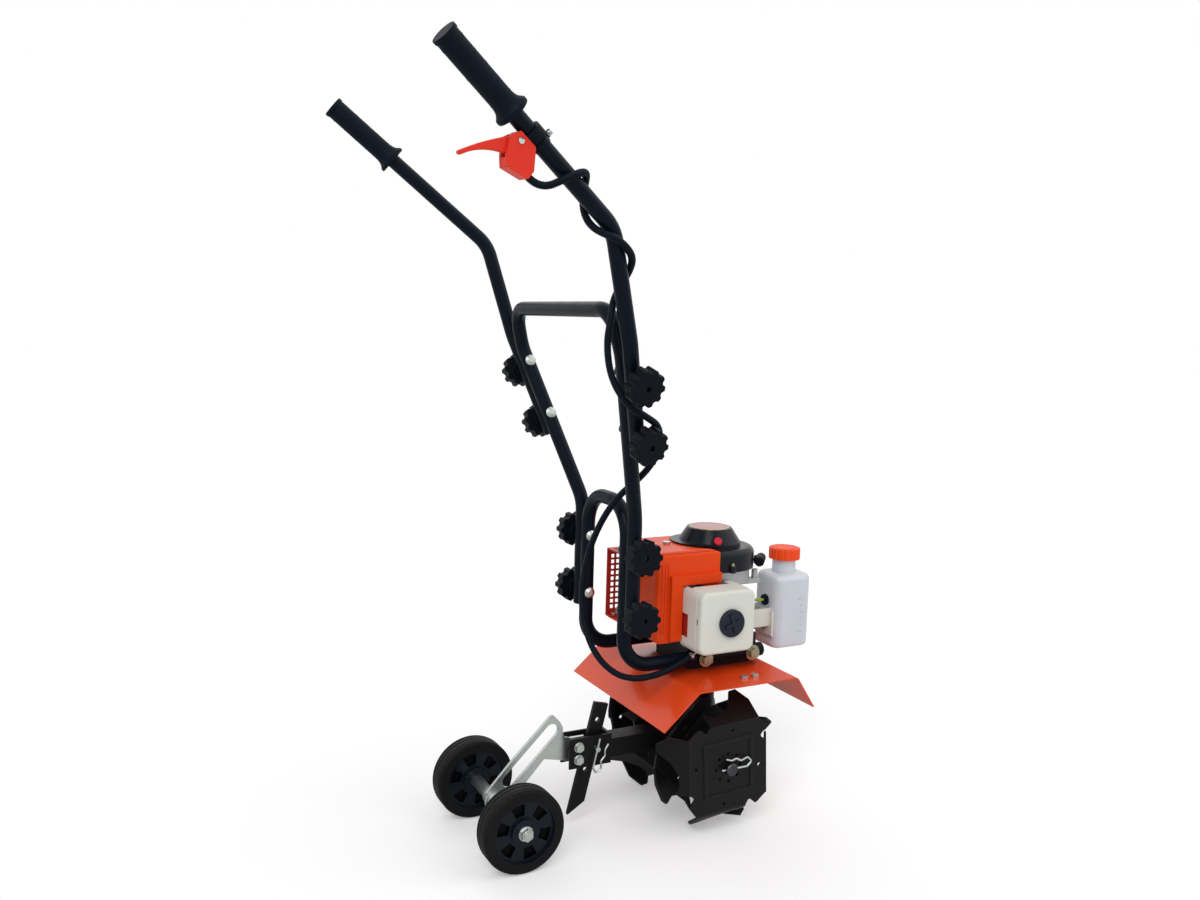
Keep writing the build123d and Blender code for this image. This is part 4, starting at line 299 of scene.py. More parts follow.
# %% [markdown]
# Zinc plate is a bright metal whose passivation clouds it slightly, and the big base bolts have
# a dull yellow passivation that drifts towards brown. Cast alloy is dull and grainy, and the tine
# axle is blued. All of them are metals, so their colour sits in Base Color with Metallic at one.

# %% Bare and plated metals
PLATE_PATCH, PLATE_GLOSS = 60.0, 130.0


def metal(name, dark, light, rough, grain_scale, grain, spread=0.2):
    finish = Finish(name, metallic=1.0)
    finish.set(base_color=tint(finish, cloud(finish, PLATE_PATCH, 4.0), dark, light))
    finish.set(roughness=rough + spread * cloud(finish, PLATE_GLOSS, 4.0))
    finish.set(normal=relief(finish, cloud(finish, grain_scale, 3.0), grain, FINE_DEPTH, CRISP_EDGE))
    return finish.material


zinc = metal("zinc", (0.44, 0.47, 0.45), (0.56, 0.59, 0.57), 0.24, 900.0, 0.12)
yellow_zinc = metal("yellow_zinc", (0.28, 0.24, 0.16), (0.42, 0.38, 0.28), 0.16, 900.0, 0.12)
cast_alloy = metal("cast_alloy", (0.34, 0.34, 0.35), (0.46, 0.46, 0.47), 0.42, 1300.0, 0.6)
ground_steel = metal("ground_steel", (0.36, 0.36, 0.37), (0.46, 0.46, 0.47), 0.18, 1200.0, 0.1)
bronze = metal("bronze", (0.42, 0.25, 0.08), (0.55, 0.36, 0.14), 0.22, 900.0, 0.15)
blued_steel = metal("blued_steel", (0.05, 0.05, 0.055), (0.09, 0.09, 0.095), 0.26, 1200.0, 0.1)
print("made six metals")

# %% [markdown]
# Welds are drawn by a torch in small overlapping ripples and then painted over, so a bead needs
# its own grain across its length and the same black as the plate under it. The beads of the
# wheel bracket are plated with it instead.

# %% Painted and plated welds
weld_paint = black("weld_paint", *SOOT, 0.36, 0.9, 240.0, GREY_EDGE, shine=0.16)
weld_zinc = metal("weld_zinc", (0.34, 0.35, 0.36), (0.50, 0.52, 0.53), 0.34, 300.0, 0.8)
print("made", weld_paint.name, weld_zinc.name)

# %% [markdown]
# The fuel tank is milky blown plastic: light goes in and scatters, so it needs subsurface
# scattering rather than plain white paint. Blowing leaves a fine raised seam round the tank
# where the two halves of the mould met. The hose is clear yellow-green plastic.

# %% Tank and hose plastic
AXLE_X = 0.161
SEAM_TOP, SEAM_FOOT, SEAM_RISE = 0.0002, 0.0007, 1.5
MILK_PATCH, MILK_GLOSS, MILK_GRAIN = 14.0, 60.0, 260.0
MILK_RELIEF, MILK_DEPTH, MILK_EDGE = 0.3, 0.0003, 0.001
tank_low, tank_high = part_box("fuel_tank")
tank_middle = (tank_low + tank_high) / 2


def milky(name, first, second, rough, depth, passing, seam=False):
    finish = Finish(name, subsurface_weight=depth, subsurface_scale=0.01, transmission_weight=passing)
    finish.set(base_color=tint(finish, cloud(finish, MILK_PATCH), first, second))
    finish.set(roughness=rough + 0.1 * cloud(finish, MILK_GLOSS))
    height = cloud(finish, MILK_GRAIN) * MILK_RELIEF
    if seam:
        off_seam = along(finish, (0, 1, 0)) - tank_middle.y
        on_seam = 1 - rise(finish, off_seam * off_seam, SEAM_TOP**2, SEAM_FOOT**2)
        height = height + SEAM_RISE * on_seam
    finish.set(normal=relief(finish, height, MILK_RELIEF, MILK_DEPTH, MILK_EDGE))
    return finish.material


tank_plastic = milky("tank_plastic", (0.60, 0.60, 0.66), (0.66, 0.66, 0.71), 0.30, 0.5, 0.0, seam=True)
hose_plastic = milky("hose_plastic", (0.42, 0.50, 0.05), (0.55, 0.62, 0.12), 0.15, 0.4, 0.2)
FOAM = (0.16, 0.16, 0.17), (0.28, 0.28, 0.29)
BRAID = (0.012, 0.012, 0.012), (0.05, 0.05, 0.05)
element_foam = painted("element_foam", *FOAM, 0.75, 1.0, peel_scale=350.0)
rope_braid = painted("rope_braid", *BRAID, 0.6, 1.0, peel_scale=900.0)
print("made", tank_plastic.name, hose_plastic.name, "seam at", round(tank_middle.y, 4))

# %% [markdown]
# The starter is moulded in two blacks: a glossy dome over a smoky drum that lets a little grey
# through. One finish can serve both, because the height of a point says which it belongs to.

# %% Starter plastic
DRUM_TOP, DRUM_FADE = 0.4325, 0.0006
starter = Finish("starter_plastic", specular_ior_level=0.16)
upper = rise(starter, along(starter, (0, 0, 1)), DRUM_TOP, DRUM_TOP + DRUM_FADE)
smoke = tint(starter, cloud(starter, 16.0), (0.006, 0.007, 0.010), (0.012, 0.013, 0.017))
starter.set(base_color=tint(starter, upper, smoke, (0.003, 0.004, 0.008)))
starter.set(roughness=0.22 + 0.12 * cloud(starter, 60.0) - 0.04 * upper)
starter.set(normal=relief(starter, cloud(starter, FINE, 2.0), 0.15, FINE_DEPTH, SOFT_EDGE))
starter_plastic = starter.material
print("smoky below", DRUM_TOP)

# %% [markdown]
# Several pieces below are set out along the slanted handles, so the two ends of a handle's top
# run are kept here, with a helper that mirrors a place to either side of the machine.

# %% Setting out the handles
GRIP_END = Vector((-0.521, 0.256, 1.101))
HANDLE_BEND = Vector((-0.280, 0.218, 0.904))


def on_side(point, side):
    """A place measured from the tine axle, on the right (-1) or left (1) of the machine."""
    return Vector((AXLE_X + point[0], side * point[1], point[2]))


def handle_way(side):
    return (on_side(HANDLE_BEND, side) - on_side(GRIP_END, side)).normalized()


print("grip directions", handle_way(-1), handle_way(1))

# %% [markdown]
# A solid rubber tyre has a smooth side wall and a tread with fine rings. The rings go round the
# axle, so their height follows the place across the wheel, and only where the tread is.

# %% Tyre rubber
wheel_low, wheel_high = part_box("wheel_right")
wheel_middle = (wheel_low + wheel_high) / 2
RIM_R = 0.0465
TREAD_R, TREAD_FADE, TREAD_PITCH = 0.0605, 0.0005, 0.0021
tyre = Finish("tyre_rubber", specular_ior_level=0.1)
across_tread = along(tyre, (0, 1, 0)) * (2 * pi / TREAD_PITCH)
rings = tyre.node("ShaderNodeMath", {"operation": "SINE"}, {0: across_tread})
tread = rise(tyre, off_axis(tyre, wheel_middle, (0, 1, 0)), TREAD_R, TREAD_R + TREAD_FADE)
tyre.set(base_color=tint(tyre, cloud(tyre, 30.0), *SOOT))
tyre.set(roughness=0.48 + 0.12 * cloud(tyre, 80.0))
tyre.set(normal=relief(tyre, rings * tread * 0.4 + cloud(tyre, 900.0) * 0.3, 0.4, 0.0004, 0.001))
tyre_rubber = tyre.material
print("wheel axle at", wheel_middle)

# %% [markdown]
# Every solid now gets the finish of the real piece. A list for each finish shows at a glance
# what is made of what, and the count shows that no solid was forgotten.

# %% Dress the solids
star_knobs = [name for name in solids if name.startswith("knob_")]
finish_of = {
    tube_paint: ["lower_loop", "middle_frame", "handle_right", "handle_left"],
    cowl_orange: ["shroud"],
    fender_paint: ["fender"],
    cap_orange: ["fuel_cap"],
    starter_plastic: ["starter_housing"],
    knob_plastic: ["starter_grip", "starter_pulley", *star_knobs],
    dial_plastic: ["filter_knob"],
    lever_plastic: ["throttle_lever", "throttle_housing"],
    button_plastic: ["stop_button"],
    tine_paint: ["tine_right_outer", "tine_right_inner", "tine_left_inner", "tine_left_outer"],
    housing_paint: [
        "clutch_housing", "gearbox_left", "gearbox_right", "rear_arm", "drag_bar", "muffler",
    ],
    zinc: ["small_fasteners", "clamp_bolts", "wheel_bracket", "wheel_axle", "axle_clips", "spark_plug"],
    yellow_zinc: ["base_bolts"],
    cast_alloy: ["crankcase", "cylinder", "carburettor"],
    ground_steel: ["bearings", "worm_shaft", "crankshaft"],
    blued_steel: ["tine_axle"],
    bronze: ["worm_wheel"],
    filter_plastic: ["filter_base", "filter_cover", "tank_bracket"],
    tank_plastic: ["fuel_tank"],
    guard_paint: ["muffler_guard"],
    element_foam: ["filter_element"],
    rope_braid: ["starter_rope"],
    soft_rubber: ["grip_right", "grip_left"],
    hose_plastic: ["fuel_line"],
    conduit_plastic: ["throttle_conduit"],
    tyre_rubber: ["wheel_right", "wheel_left"],
}
for finish, names in finish_of.items():
    for name in names:
        solids[name].data.materials.clear()
        solids[name].data.materials.append(finish)
print("dressed", sum(len(names) for names in finish_of.values()), "of", len(solids))

# %% [markdown]
# Some solids need a second finish on part of their faces: the wheels have a glossy plastic
# centre inside the rubber, whose sunk panels are made darker as painted shade, the fuel line
# ends in a black rubber grommet at the tank, and the clamp that holds the red throttle to its handle is
# black.

# %% Second finishes
CLAMP_FROM, CLAMP_TO = 0.14, 0.19
HOUSING_RING_R, BAND_EAR_R = 0.0153, 0.0215
GROMMET_LENGTH = 0.0055
BOSS_R, SPOKE_DEPTH = 0.021, 0.012


def second_finish(name, finish, chosen):
    """Another finish on the faces whose middle is chosen."""
    mesh = solids[name].data
    mesh.materials.append(finish)
    for face in mesh.polygons:
        if chosen(face.center):
            face.material_index = len(mesh.materials) - 1


def in_clamp(spot, reach):
    """Whether a spot belongs to the clamp round the right handle."""
    off = spot - on_side(GRIP_END, -1)
    run = off.dot(handle_way(-1))
    return CLAMP_FROM < run < CLAMP_TO and (off - handle_way(-1) * run).length < reach


def in_hub(spot):
    off = spot - wheel_middle
    return Vector((off.x, off.z)).length < RIM_R


def in_panel(spot):
    """Whether a spot of the hub lies deeper than its spokes, behind the boss of the nut."""
    off = spot - wheel_middle
    depth = abs(abs(spot.y) - abs(wheel_middle.y))
    return BOSS_R < Vector((off.x, off.z)).length < RIM_R and depth < SPOKE_DEPTH


for name in ("wheel_right", "wheel_left"):
    second_finish(name, hub_plastic, in_hub)
    # The sunk panels take a darker black as painted shade in their recesses.
    second_finish(name, recess_shade_plastic, in_panel)
second_finish("fuel_line", soft_rubber, lambda spot: spot.x > tank_low.x - GROMMET_LENGTH)
second_finish("throttle_housing", knob_plastic, lambda spot: in_clamp(spot, HOUSING_RING_R))
second_finish("small_fasteners", tube_paint, lambda spot: in_clamp(spot, BAND_EAR_R))
print("hub radius", RIM_R, "tank rear", round(tank_low.x, 4))

# %% [markdown]
# The throttle conduit is a corrugated plastic loom. Its line is a NURBS curve through the same
# route as the solid one: out of the lever housing, nearly twice round the right handle, hanging
# free to the carburettor. These are the points of that route.

# %% Route of the conduit
TUBE_R = 0.011
CONDUIT_R = 0.005
EXIT_ALONG, EXIT_BELOW, EXIT_STRAIGHT = 0.1802, 0.0415, 0.023
WRAP_START, WRAP_LENGTH, WRAP_TURN, WRAP_STEPS = 0.217, 0.210, 630.0, 14
WRAP_SPACE, WRAP_DRAW = 0.0035, 1.25
SEAT_GAP, KNEE_RISE = 0.0002, 0.025
FACING = Vector((-0.462, -0.887, 0))
LEG_TOP = Vector((-0.235, 0.170, 0.743))
LEG_FOOT = Vector((-0.160, 0.0864, 0.501))
right_way = handle_way(-1)
right_end = on_side(GRIP_END, -1)
bend = on_side(HANDLE_BEND, -1)
lever_out = right_way.cross(Vector((0, 0, 1))).normalized()
up_way = lever_out.cross(right_way)


def leg_frame(side):
    """The way up the middle frame's long leg, and the way out of it."""
    leg = (on_side(LEG_TOP, side) - on_side(LEG_FOOT, side)).normalized()
    out = Vector((0, side, 0))
    return leg, (out - leg * out.dot(leg)).normalized()


leg, out = leg_frame(-1)
knee = on_side(LEG_TOP, -1) + out * (2 * TUBE_R + SEAT_GAP) + leg * KNEE_RISE


def wound(share):
    """A point of the turns round the handle, by its share of the whole winding."""
    reach = WRAP_START + WRAP_LENGTH * share**WRAP_DRAW
    straight = (bend - right_end).length
    run = right_way if reach < straight else (knee - bend).normalized()
    centre = right_end + run * reach if reach < straight else bend + run * (reach - straight)
    near = (FACING - run * FACING.dot(run)).normalized()
    angle = radians(90 + WRAP_TURN * share)
    way_out = near * sin(angle) - near.cross(run) * cos(angle)
    return centre + way_out * (CONDUIT_R + TUBE_R + WRAP_SPACE)


hanging = [
    (-0.267, 0.184, 0.757), (-0.258, 0.182, 0.712), (-0.236, 0.190, 0.676), (-0.203, 0.187, 0.660),
    (-0.172, 0.168, 0.645), (-0.155, 0.141, 0.616), (-0.152, 0.118, 0.586), (-0.162, 0.094, 0.559),
    (-0.178, 0.066, 0.532), (-0.191, 0.038, 0.490), (-0.198, 0.012, 0.437), (-0.202, -0.001, 0.378),
    (-0.203, 0.014, 0.325), (-0.199, 0.047, 0.287), (-0.182, 0.077, 0.265), (-0.155, 0.088, 0.2565),
    (-0.124, 0.089, 0.257), (-0.095, 0.087, 0.262), (-0.070, 0.0845, 0.270), (-0.052, 0.082, 0.277),
]
conduit_exit = right_end + right_way * EXIT_ALONG - up_way * EXIT_BELOW
route = [conduit_exit, conduit_exit + right_way * EXIT_STRAIGHT]
route += [wound(step / WRAP_STEPS) for step in range(WRAP_STEPS + 1)]
route += [on_side(point, -1) for point in hanging]
print("conduit route points", len(route))

# %% [markdown]
# A NURBS curve of order three takes the route's points as its control points, so it rounds
# every corner like a real loom. Turning the curve into a mesh with no thickness gives the
# points that lie along it.

# %% Smooth line through the route
def smooth_line(points, steps=16):
    """Points along a NURBS curve that has these control points."""
    curve = bpy.data.curves.new("line", "CURVE")
    curve.dimensions = "3D"
    curve.resolution_u = steps
    spline = curve.splines.new("NURBS")
    spline.points.add(len(points) - 1)
    for knot, point in zip(spline.points, points):
        knot.co = (*point, 1)
    spline.order_u = 3
    spline.use_endpoint_u = True
    holder = bpy.data.objects.new("line", curve)
    bpy.context.scene.collection.objects.link(holder)
    bpy.context.view_layer.update()
    mesh = bpy.data.meshes.new_from_object(holder)
    line = [vertex.co.copy() for vertex in mesh.vertices]
    bpy.data.objects.remove(holder)
    bpy.data.meshes.remove(mesh)
    return line


def stepped(line, step):
    """The same line in even steps."""
    made = [line[0]]
    left = step
    for start, end in zip(line, line[1:]):
        run = (end - start).length
        at = left
        while at <= run:
            made.append(start.lerp(end, at / run))
            at += step
        left = at - run
    return made


conduit_line = smooth_line(route)

# %% [markdown]
# Round bars that follow a line come up again for the rope and the welds, so one helper builds
# them as rings of points joined by faces. The radius of each ring is free, which gives the
# loom its ribs. A screw modifier could turn the ribs, but it can't follow a bent line.

# %% Ringed tube along a line
def piece(name, corners, faces, finish, body, sharp=None):
    """A new object, which rides on a body when one is given."""
    mesh = bpy.data.meshes.new(name)
    mesh.from_pydata([tuple(corner) for corner in corners], [], faces)
    mesh.shade_smooth()
    if sharp:
        mesh.set_sharp_from_angle(angle=radians(sharp))
    mesh.materials.append(finish)
    made = bpy.data.objects.new(name, mesh)
    bpy.context.scene.collection.objects.link(made)
    if body:
        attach(made, body)
    return made


def ring_faces(rings, sides, closed=False):
    """Faces between rings of points, with an end on each side or closed into a loop."""
    faces = []
    for ring in range(rings if closed else rings - 1):
        for corner in range(sides):
            a, b = ring * sides + corner, ring * sides + (corner + 1) % sides
            c, d = (b + sides) % (rings * sides), (a + sides) % (rings * sides)
            faces.append((a, b, c, d))
    if not closed:
        faces.append(tuple(reversed(range(sides))))
        faces.append(tuple(range((rings - 1) * sides, rings * sides)))
    return faces


def ring_points(line, radius_at, sides, closed=False):
    """Rings of points square to a line."""
    corners = []
    side = (line[1] - line[0]).orthogonal().normalized()
    for index, point in enumerate(line):
        after, before = line[(index + 1) % len(line)], line[index - 1]
        if not closed:
            after, before = line[min(index + 1, len(line) - 1)], line[max(index - 1, 0)]
        way = (after - before).normalized()
        side = (side - way * side.dot(way)).normalized()
        other = way.cross(side)
        for corner in range(sides):
            turn = 2 * pi * corner / sides
            corners.append(point + (side * cos(turn) + other * sin(turn)) * radius_at(index))
    return corners


RIB_PITCH = 0.0023
RIB_DEPTH = 0.0006
LOOM_SIDES = 14
rib_radii = (CONDUIT_R, CONDUIT_R, CONDUIT_R - RIB_DEPTH, CONDUIT_R - RIB_DEPTH)
ring_line = stepped(conduit_line, RIB_PITCH / 4)
loom_corners = ring_points(ring_line, lambda index: rib_radii[index % 4], LOOM_SIDES)
loom_faces = ring_faces(len(ring_line), LOOM_SIDES)
conduit = piece("conduit_loom", loom_corners, loom_faces, conduit_plastic, "chassis")
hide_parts("throttle_conduit")
print("conduit rings", len(ring_line))

# %% [markdown]
# The starter rope pays out of its housing when the grip is pulled. Here it is a twisted tube
# from the housing to the grip, which rides on no body.

# %% Starter rope
ROPE_R, ROPE_TWIST, ROPE_INSET, ROPE_STEPS, ROPE_SIDES = 0.0016, 0.00012, 0.002, 120, 10
rope_low, rope_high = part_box("starter_rope")
rope_inner = Vector((rope_low.x, rope_high.y, (rope_low.z + rope_high.z) / 2))
rope_outer = Vector((rope_high.x, rope_low.y, rope_inner.z))
rope_way = (rope_outer - rope_inner).normalized()
rope_inner += rope_way * ROPE_INSET
rope_outer -= rope_way * ROPE_INSET
rope_line = [rope_inner.lerp(rope_outer, step / ROPE_STEPS) for step in range(ROPE_STEPS + 1)]
rope_corners = ring_points(rope_line, lambda index: ROPE_R + ROPE_TWIST * (index % 2), ROPE_SIDES)
rope_faces = ring_faces(len(rope_line), ROPE_SIDES)
rope = piece("pull_rope", rope_corners, rope_faces, rope_braid, None)
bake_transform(rope)
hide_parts("starter_rope")
print("rope length", round((rope_outer - rope_inner).length, 4))

# %% [markdown]
# Small turned parts are stacks of rings on one axis, like work on a lathe. A ring can be round
# or six-sided, which is all that a screw head with a key hole needs.

# %% A lathe for small parts
def turned(name, foot, way, rings, finish, body, sides=48):
    """A stack of (height, radius) or (height, radius, flats) rings along a direction."""
    foot, way = Vector(foot), Vector(way).normalized()
    side = way.orthogonal().normalized()
    other = way.cross(side)
    corners = []
    for height, radius, *flats in rings:
        for corner in range(sides):
            turn = 2 * pi * corner / sides
            reach = radius
            if flats:
                sector = 2 * pi / flats[0]
                reach = radius * cos(sector / 2) / cos(turn % sector - sector / 2)
            corners.append(foot + way * height + (side * cos(turn) + other * sin(turn)) * reach)
    return piece(name, corners, ring_faces(len(rings), sides), finish, body, sharp=32)


def cap_screw(name, foot, way, radius, body, finish=zinc):
    """A round-headed screw with a washer under it and a six-sided key hole."""
    head = [
        (0.0, 1.5), (0.25, 1.55), (0.35, 1.5), (0.35, 1.0), (1.2, 1.0), (1.4, 0.9), (1.45, 0.8),
        (1.45, 0.62, 6), (0.75, 0.6, 6), (0.7, 0.05),
    ]
    rings = [(height * radius, reach * radius, *flats) for height, reach, *flats in head]
    return turned(name, foot, way, rings, finish, body)


print("lathe ready")

# %% [markdown]
# The flat top of the starter's dome carries a dark red inlay with a thin pale rim. It is a low
# turned disc, and its material tells the rim from the middle by the distance from the axis.

# %% Inlay on the starter dome
dome_low, dome_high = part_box("starter_pulley")
crank_axis = (dome_low + dome_high) / 2
DOME_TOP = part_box("starter_housing")[1].z
INLAY_R, INLAY_RIM_R = 0.0304, 0.0307
inlay = Finish("inlay_red", coat_weight=0.4, coat_roughness=0.1)
rim = rise(inlay, off_axis(inlay, crank_axis, (0, 0, 1)), INLAY_R, INLAY_RIM_R)
inlay_red = tint(inlay, cloud(inlay, 30.0), (0.30, 0.020, 0.026), (0.36, 0.030, 0.036))
inlay.set(base_color=tint(inlay, rim, inlay_red, (0.42, 0.34, 0.12)), metallic=0.8 * rim)
inlay.set(roughness=0.24 + 0.1 * cloud(inlay, 70.0))
inlay.set(normal=relief(inlay, cloud(inlay, 1300.0), 0.1, FINE_DEPTH, CRISP_EDGE))
inlay_rings = [
    (-0.0004, 0.0322), (0.0004, 0.0322), (0.0007, 0.0319), (0.0007, 0.0307), (0.0003, 0.0303),
    (0.0005, 0.02), (0.0006, 0.0005),
]
inlay_foot = (crank_axis.x, crank_axis.y, DOME_TOP)
turned(
    "dome_inlay", inlay_foot, (0, 0, 1), inlay_rings, inlay.material, "chassis", sides=72
)
print("inlay at", [round(value, 4) for value in inlay_foot])

# %% [markdown]
# Two screws hold the starter down, one on each side, in small lugs at the foot of the drum.
# Each lug is a short turned post that is half sunk in the drum's wall.

# %% Starter lugs and their screws
DRUM_R, DRUM_FOOT = 0.062, 0.398
LUG_R, LUG_H, LUG_AHEAD, LUG_OUT, LUG_BEVEL = 0.0056, 0.011, 0.005, 0.0015, 0.001
LUG_SCREW_R, LUG_TOP_R, CENTRE_R = 0.0028, 0.0048, 0.0005
for side, name in ((-1, "right"), (1, "left")):
    spot = Vector((crank_axis.x + LUG_AHEAD, side * (DRUM_R + LUG_OUT), DRUM_FOOT))
    post = [(0.0, LUG_R), (LUG_H - LUG_BEVEL, LUG_R), (LUG_H, LUG_TOP_R), (LUG_H, CENTRE_R)]
    turned(f"starter_lug_{name}", spot, (0, 0, 1), post, starter_plastic, "chassis")
    seat = spot + Vector((0, 0, LUG_H))
    screw = f"starter_screw_{name}"
    cap_screw(screw, seat, (0, 0, 1), LUG_SCREW_R, "chassis", yellow_zinc)
print("lugs beside", round(DRUM_R, 3))

# %% [markdown]
# The inner tine plates are welded to their sleeves, the arm to its foot plate and
# the axle tube to the wheel bracket. A weld bead is a closed ringed tube whose radius ripples
# along the seam.

# %% Weld beads
RIPPLE, RIPPLE_STEP, BEAD_SIDES = 0.16, 2.1, 8
TINE_BEAD, BRACKET_BEAD, ARM_BEAD = 0.0017, 0.0014, 0.002


def circle_line(centre, way, radius, steps=96):
    way = Vector(way)
    side = way.orthogonal().normalized()
    other = way.cross(side)
    turns = [2 * pi * step / steps for step in range(steps)]
    return [Vector(centre) + (side * cos(turn) + other * sin(turn)) * radius for turn in turns]


def weld(name, line, bead, finish, body):
    def ripple(index):
        return bead * (1 + RIPPLE * sin(index * RIPPLE_STEP))

    corners = ring_points(line, ripple, BEAD_SIDES, closed=True)
    return piece(name, corners, ring_faces(len(line), BEAD_SIDES, closed=True), finish, body)


axle_low, axle_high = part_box("tine_axle")
tine_middle = (axle_low + axle_high) / 2
SLEEVE_R, INNER_PLATE, HALF_PLATE = 0.014, 0.050, 0.002
BRACKET_SLEEVE_R, BRACKET_SEAM = 0.0125, 0.0026
for side, name in ((-1, "right"), (1, "left")):
    for face, word in ((-1, "inner"), (1, "outer")):
        seam = tine_middle + Vector((0, side * (INNER_PLATE + face * HALF_PLATE), 0))
        seam_line = circle_line(seam, (0, 1, 0), SLEEVE_R)
        weld(f"tine_weld_{name}_{word}", seam_line, TINE_BEAD, weld_paint, "tine_rotor")
    seam = (wheel_middle.x, side * BRACKET_SEAM, wheel_middle.z)
    seam_line = circle_line(seam, (0, 1, 0), BRACKET_SLEEVE_R)
    weld(f"bracket_weld_{name}", seam_line, BRACKET_BEAD, weld_zinc, "chassis")
print("tine welds round", [round(value, 4) for value in tine_middle])

# %% [markdown]
# The arm's box section meets its foot plate in a rectangle with rounded corners, so this bead
# follows a rounded rectangle instead of a circle.

# %% Weld at the foot of the arm
def rounded_rectangle(centre, across, upward, half_width, half_height, corner, steps=12):
    line = []
    for sign_x, sign_y, start in ((1, 1, 0), (-1, 1, 90), (-1, -1, 180), (1, -1, 270)):
        pivot = centre + across * sign_x * (half_width - corner)
        pivot += upward * sign_y * (half_height - corner)
        for step in range(steps):
            turn = radians(start + 90 * step / (steps - 1))
            line.append(pivot + (across * cos(turn) + upward * sin(turn)) * corner)
    return line


ARM_HALF_WIDTH, ARM_HALF_HEIGHT, ARM_CORNER = 0.017, 0.015, 0.002
ARM_FOOT, ARM_Z, ARM_STEP = 0.046, 0.122, 0.0012
arm_seam = Vector((AXLE_X - ARM_FOOT, 0, ARM_Z))
across, upright_way = Vector((0, 1, 0)), Vector((0, 0, 1))
arm_line = rounded_rectangle(
    arm_seam, across, upright_way, ARM_HALF_WIDTH, ARM_HALF_HEIGHT, ARM_CORNER
)
arm_line = stepped(arm_line + arm_line[:1], ARM_STEP)[:-1]
weld("arm_weld", arm_line, ARM_BEAD, weld_paint, "chassis")
print("arm bead rings", len(arm_line))

# %% [markdown]
# Open tube ends would cut a hand and fill with mud, so each one is closed with a low black
# plug: a turned rim that rests on the end of the tube with a spigot inside it.

# %% Tube plugs
plug_rings = [
    (-0.006, 0.0092), (-0.0002, 0.0092), (-0.0001, 0.0107), (0.0012, 0.0107), (0.0020, 0.0098),
    (0.0024, 0.0080), (0.0025, 0.0005),
]
LOOP_HALF, LOOP_Z, LOOP_FRONT = 0.0642, 0.268, 0.092
LEG_BOTTOM, HANDLE_OVERLAP = 0.333, 0.145
for side, name in ((-1, "right"), (1, "left")):
    leg, out = leg_frame(side)
    handle_foot = on_side(LEG_TOP, side) + out * (2 * TUBE_R + SEAT_GAP) - leg * HANDLE_OVERLAP
    ends = {
        "loop": (on_side((LOOP_FRONT, LOOP_HALF, LOOP_Z), side), Vector((1, 0, 0))),
        "middle": (on_side((LEG_FOOT.x, LEG_FOOT.y, LEG_BOTTOM), side), Vector((0, 0, -1))),
        "handle": (handle_foot, -leg),
    }
    for tube, (end, way) in ends.items():
        turned(f"{tube}_plug_{name}", end, way, plug_rings, conduit_plastic, "chassis")
print("six plugs")

# %% [markdown]
# The fuel tank's right face has moulded level marks: plain ticks, longer at the upper and lower
# limits. A tick is a bar with rounded edges, so it is a bevelled box made with bmesh.

# %% Level ticks on the tank
def bar(name, low, high, bevel, finish, body):
    """A box between two corners with all its edges rounded."""
    shape = bmesh.new()
    bmesh.ops.create_cube(shape, size=1.0)
    low, high = Vector(low), Vector(high)
    for vertex in shape.verts:
        vertex.co = Vector([low[i] + (vertex.co[i] + 0.5) * (high[i] - low[i]) for i in range(3)])
    bmesh.ops.bevel(shape, geom=shape.edges[:], offset=bevel, segments=3, profile=0.5, affect="EDGES")
    corners = [vertex.co.copy() for vertex in shape.verts]
    faces = [tuple(vertex.index for vertex in face.verts) for face in shape.faces]
    shape.free()
    return piece(name, corners, faces, finish, body, sharp=40)


tick_finish = painted("tick_grey", (0.34, 0.34, 0.37), (0.40, 0.40, 0.43), 0.35, 0.15, peel_scale=FINE)
TICK_X = tank_low.x + 0.054
TICKS, TICK_LOWEST, TICK_PITCH = 6, 0.281, 0.011
TICK_LONG, TICK_SHORT = 0.010, 0.005
TICK_OUT, TICK_HALF, TICK_BEVEL = 0.0003, 0.0004, 0.0002
for index in range(TICKS):
    height = TICK_LOWEST + TICK_PITCH * index
    run = TICK_LONG if index in (0, TICKS - 1) else TICK_SHORT
    low = (TICK_X - run, tank_low.y - TICK_OUT, height - TICK_HALF)
    high = (TICK_X, tank_low.y + TICK_HALF, height + TICK_HALF)
    bar(f"level_tick_{index}", low, high, TICK_BEVEL, tick_finish, "chassis")
print("ticks at", round(TICK_X, 4))

# %% [markdown]
# The rear edge of the filter cover has a narrow slot with a dark latch in it, sunk a little below
# the plastic. It is one more rounded bar.

# %% Latch of the filter cover
LATCH_LOW = (AXLE_X - 0.0587, -0.1099, 0.3343)
LATCH_HIGH = (AXLE_X - 0.0576, -0.1075, 0.3437)
LATCH_BEVEL = 0.0003
bar("cover_latch", LATCH_LOW, LATCH_HIGH, LATCH_BEVEL, knob_plastic, "chassis")
print("latch at", [round(value, 4) for value in LATCH_LOW])

# %% [markdown]
# The fuel cap's top has a raised rim round a shallow dish, which stiffens the moulding. It turns
# with the cap, so it rides on the cap's body.

# %% Crown of the fuel cap
cap_low, cap_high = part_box("fuel_cap")
cap_middle = (cap_low + cap_high) / 2
crown_rings = [
    (-0.0003, 0.0215), (0.0006, 0.0212), (0.0008, 0.0206), (0.0008, 0.0192), (0.0003, 0.0186),
    (0.0002, 0.010), (0.0004, 0.0005),
]
crown_foot = (cap_middle.x, cap_middle.y, cap_high.z)
turned("cap_crown", crown_foot, (0, 0, 1), crown_rings, cap_orange, "cap")
print("crown on", round(cap_high.z, 4))
